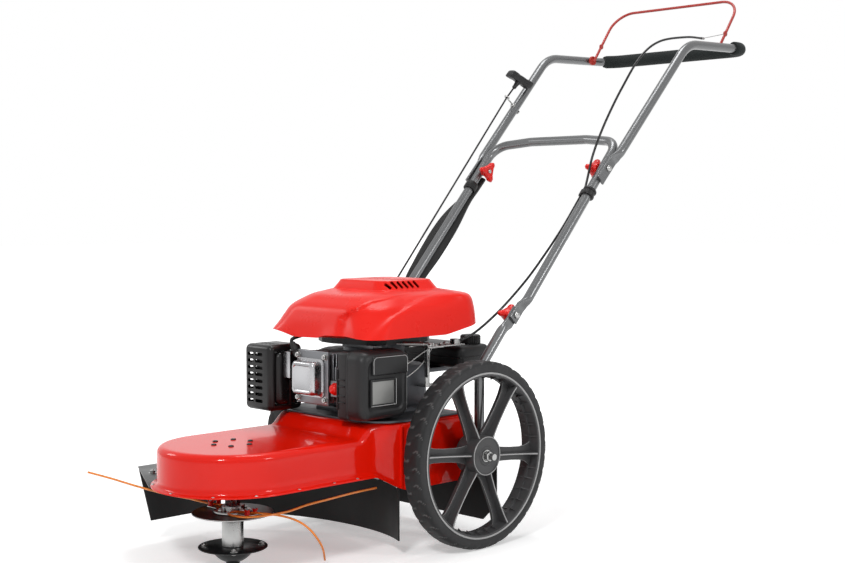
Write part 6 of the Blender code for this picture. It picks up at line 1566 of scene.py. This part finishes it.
class MOWER_OT_stage(bpy.types.Operator):
    """White floor, soft lamps and the camera"""

    bl_idname = "mower.stage"
    bl_label = "Studio"

    def execute(self, context):
        scene = context.scene
        deselect()
        bpy.ops.mesh.primitive_plane_add(size=40, location=(0, 0, 0))
        floor = context.object
        floor.name = "studio_floor"
        floor.data.materials.append(white_sweep("white_studio_paper"))
        world = bpy.data.worlds.new("studio_sky")
        world.use_nodes = True
        tree = world.node_tree
        tree.nodes.clear()
        soft = add(tree, "Background", {"Color": (1, 1, 1, 1), "Strength": 0.36})
        white = add(tree, "Background", {"Color": (1, 1, 1, 1), "Strength": 1.0})
        seen = add(tree, "MixShader", {0: (shown_white(tree), "Value"), 1: (soft, "Background"),
                                       2: (white, "Background")})
        add(tree, "OutputWorld", {"Surface": (seen, "Shader")})
        scene.world = world
        for name, place, size, power in (("key_softbox", (1.4, -2.6, 2.4), 0.5, 46),
                                         ("side_softbox", (3.0, 0.6, 1.7), 0.6, 20),
                                         ("left_softbox", (-2.6, -1.6, 1.9), 0.8, 15),
                                         ("top_softbox", (-0.2, 0.4, 3.2), 1.1, 30)):
            bpy.ops.object.light_add(type="AREA", location=place)
            lamp = context.object
            lamp.name = name
            lamp.data.shape, lamp.data.size, lamp.data.energy = "SQUARE", size, power
            lamp.rotation_euler = (Vector((0, 0, 0.4)) - Vector(place)).to_track_quat("-Z", "Y").to_euler()
        azimuth, pitch = radians(45.467), radians(2.981)
        bpy.ops.object.camera_add(location=at(1.9785, -1.8961, 0.6412))
        camera = context.object
        camera.name = "photo_camera"
        look = Vector((-sin(azimuth) * cos(pitch), cos(azimuth) * cos(pitch), -sin(pitch)))
        camera.rotation_euler = look.to_track_quat("-Z", "Y").to_euler()
        camera.data.lens = 58.87
        camera.data.sensor_width = 36
        scene.camera = camera
        scene.view_settings.view_transform = "Standard"
        return {"FINISHED"}


def white_sweep(name):
    """Matt paper that the camera sees as white where no shadow falls."""
    made, tree = bare_material(name)
    place = add(tree, "TexCoord")
    fibre = add(tree, "TexNoise", {"Vector": (place, "Object"), "Scale": 60.0, "Detail": 2.0})
    tint = add(tree, "MixRGB", {"Fac": (fibre, "Fac"), "Color1": (0.86, 0.86, 0.86, 1),
                                "Color2": (0.88, 0.88, 0.88, 1)})
    matt = add(tree, "BsdfDiffuse", {"Color": (tint, "Color")})
    away = add(tree, "VectorMath", {0: (place, "Object")}, operation="LENGTH")
    level = add(tree, "MapRange", {"Value": (away, "Value"), "From Min": 0.7, "From Max": 1.7, "To Min": 0.4,
                                   "To Max": 0.95})
    glow = add(tree, "Emission", {"Color": (1, 1, 1, 1), "Strength": (level, "Result")})
    lit = add(tree, "AddShader", {0: (matt, "BSDF"), 1: (glow, "Emission")})
    seen = add(tree, "MixShader", {0: (shown_white(tree), "Value"), 1: (matt, "BSDF"), 2: (lit, "Shader")})
    add(tree, "OutputMaterial", {"Surface": (seen, "Shader")})
    return made


STEPS = ("stage", "wheels", "deck", "guards", "head", "cover", "engine", "controls", "handle", "knobs",
         "starter", "cables", "inner_finishes")
OPERATORS = (MOWER_OT_stage, MOWER_OT_wheels, MOWER_OT_deck, MOWER_OT_guards, MOWER_OT_head, MOWER_OT_cover,
             MOWER_OT_engine, MOWER_OT_controls, MOWER_OT_handle, MOWER_OT_knobs, MOWER_OT_starter,
             MOWER_OT_cables, MOWER_OT_inner_finishes)


class MOWER_PT_pieces(bpy.types.Panel):
    """Lists the steps, sizes and colours"""

    bl_idname = "MOWER_PT_pieces"
    bl_label = "String trimmer mower"
    bl_space_type = "VIEW_3D"
    bl_region_type = "UI"
    bl_category = "Mower"

    def draw(self, context):
        for operator in OPERATORS:
            self.layout.operator(operator.bl_idname)
        for group in (context.scene.mower_sizes, context.scene.mower_colours):
            for name in group.bl_rna.properties.keys():
                if name not in ("rna_type", "name"):
                    self.layout.prop(group, name)


CLASSES = (MowerSizes, MowerColours, *OPERATORS, MOWER_PT_pieces)


def register():
    for kind in CLASSES:
        bpy.utils.register_class(kind)
    bpy.types.Scene.mower_sizes = bpy.props.PointerProperty(type=MowerSizes)
    bpy.types.Scene.mower_colours = bpy.props.PointerProperty(type=MowerColours)


def unregister():
    del bpy.types.Scene.mower_sizes
    del bpy.types.Scene.mower_colours
    for kind in reversed(CLASSES):
        bpy.utils.unregister_class(kind)


FINISH = {}


def main():
    for thing in [o for o in bpy.data.objects if o.name in ("Cube", "Light", "Camera")]:
        bpy.data.objects.remove(thing)
    register()
    FINISH.update(finishes())
    for step in STEPS:
        getattr(bpy.ops.mower, step)()
    deselect()


if __name__ == "__main__":
    main()
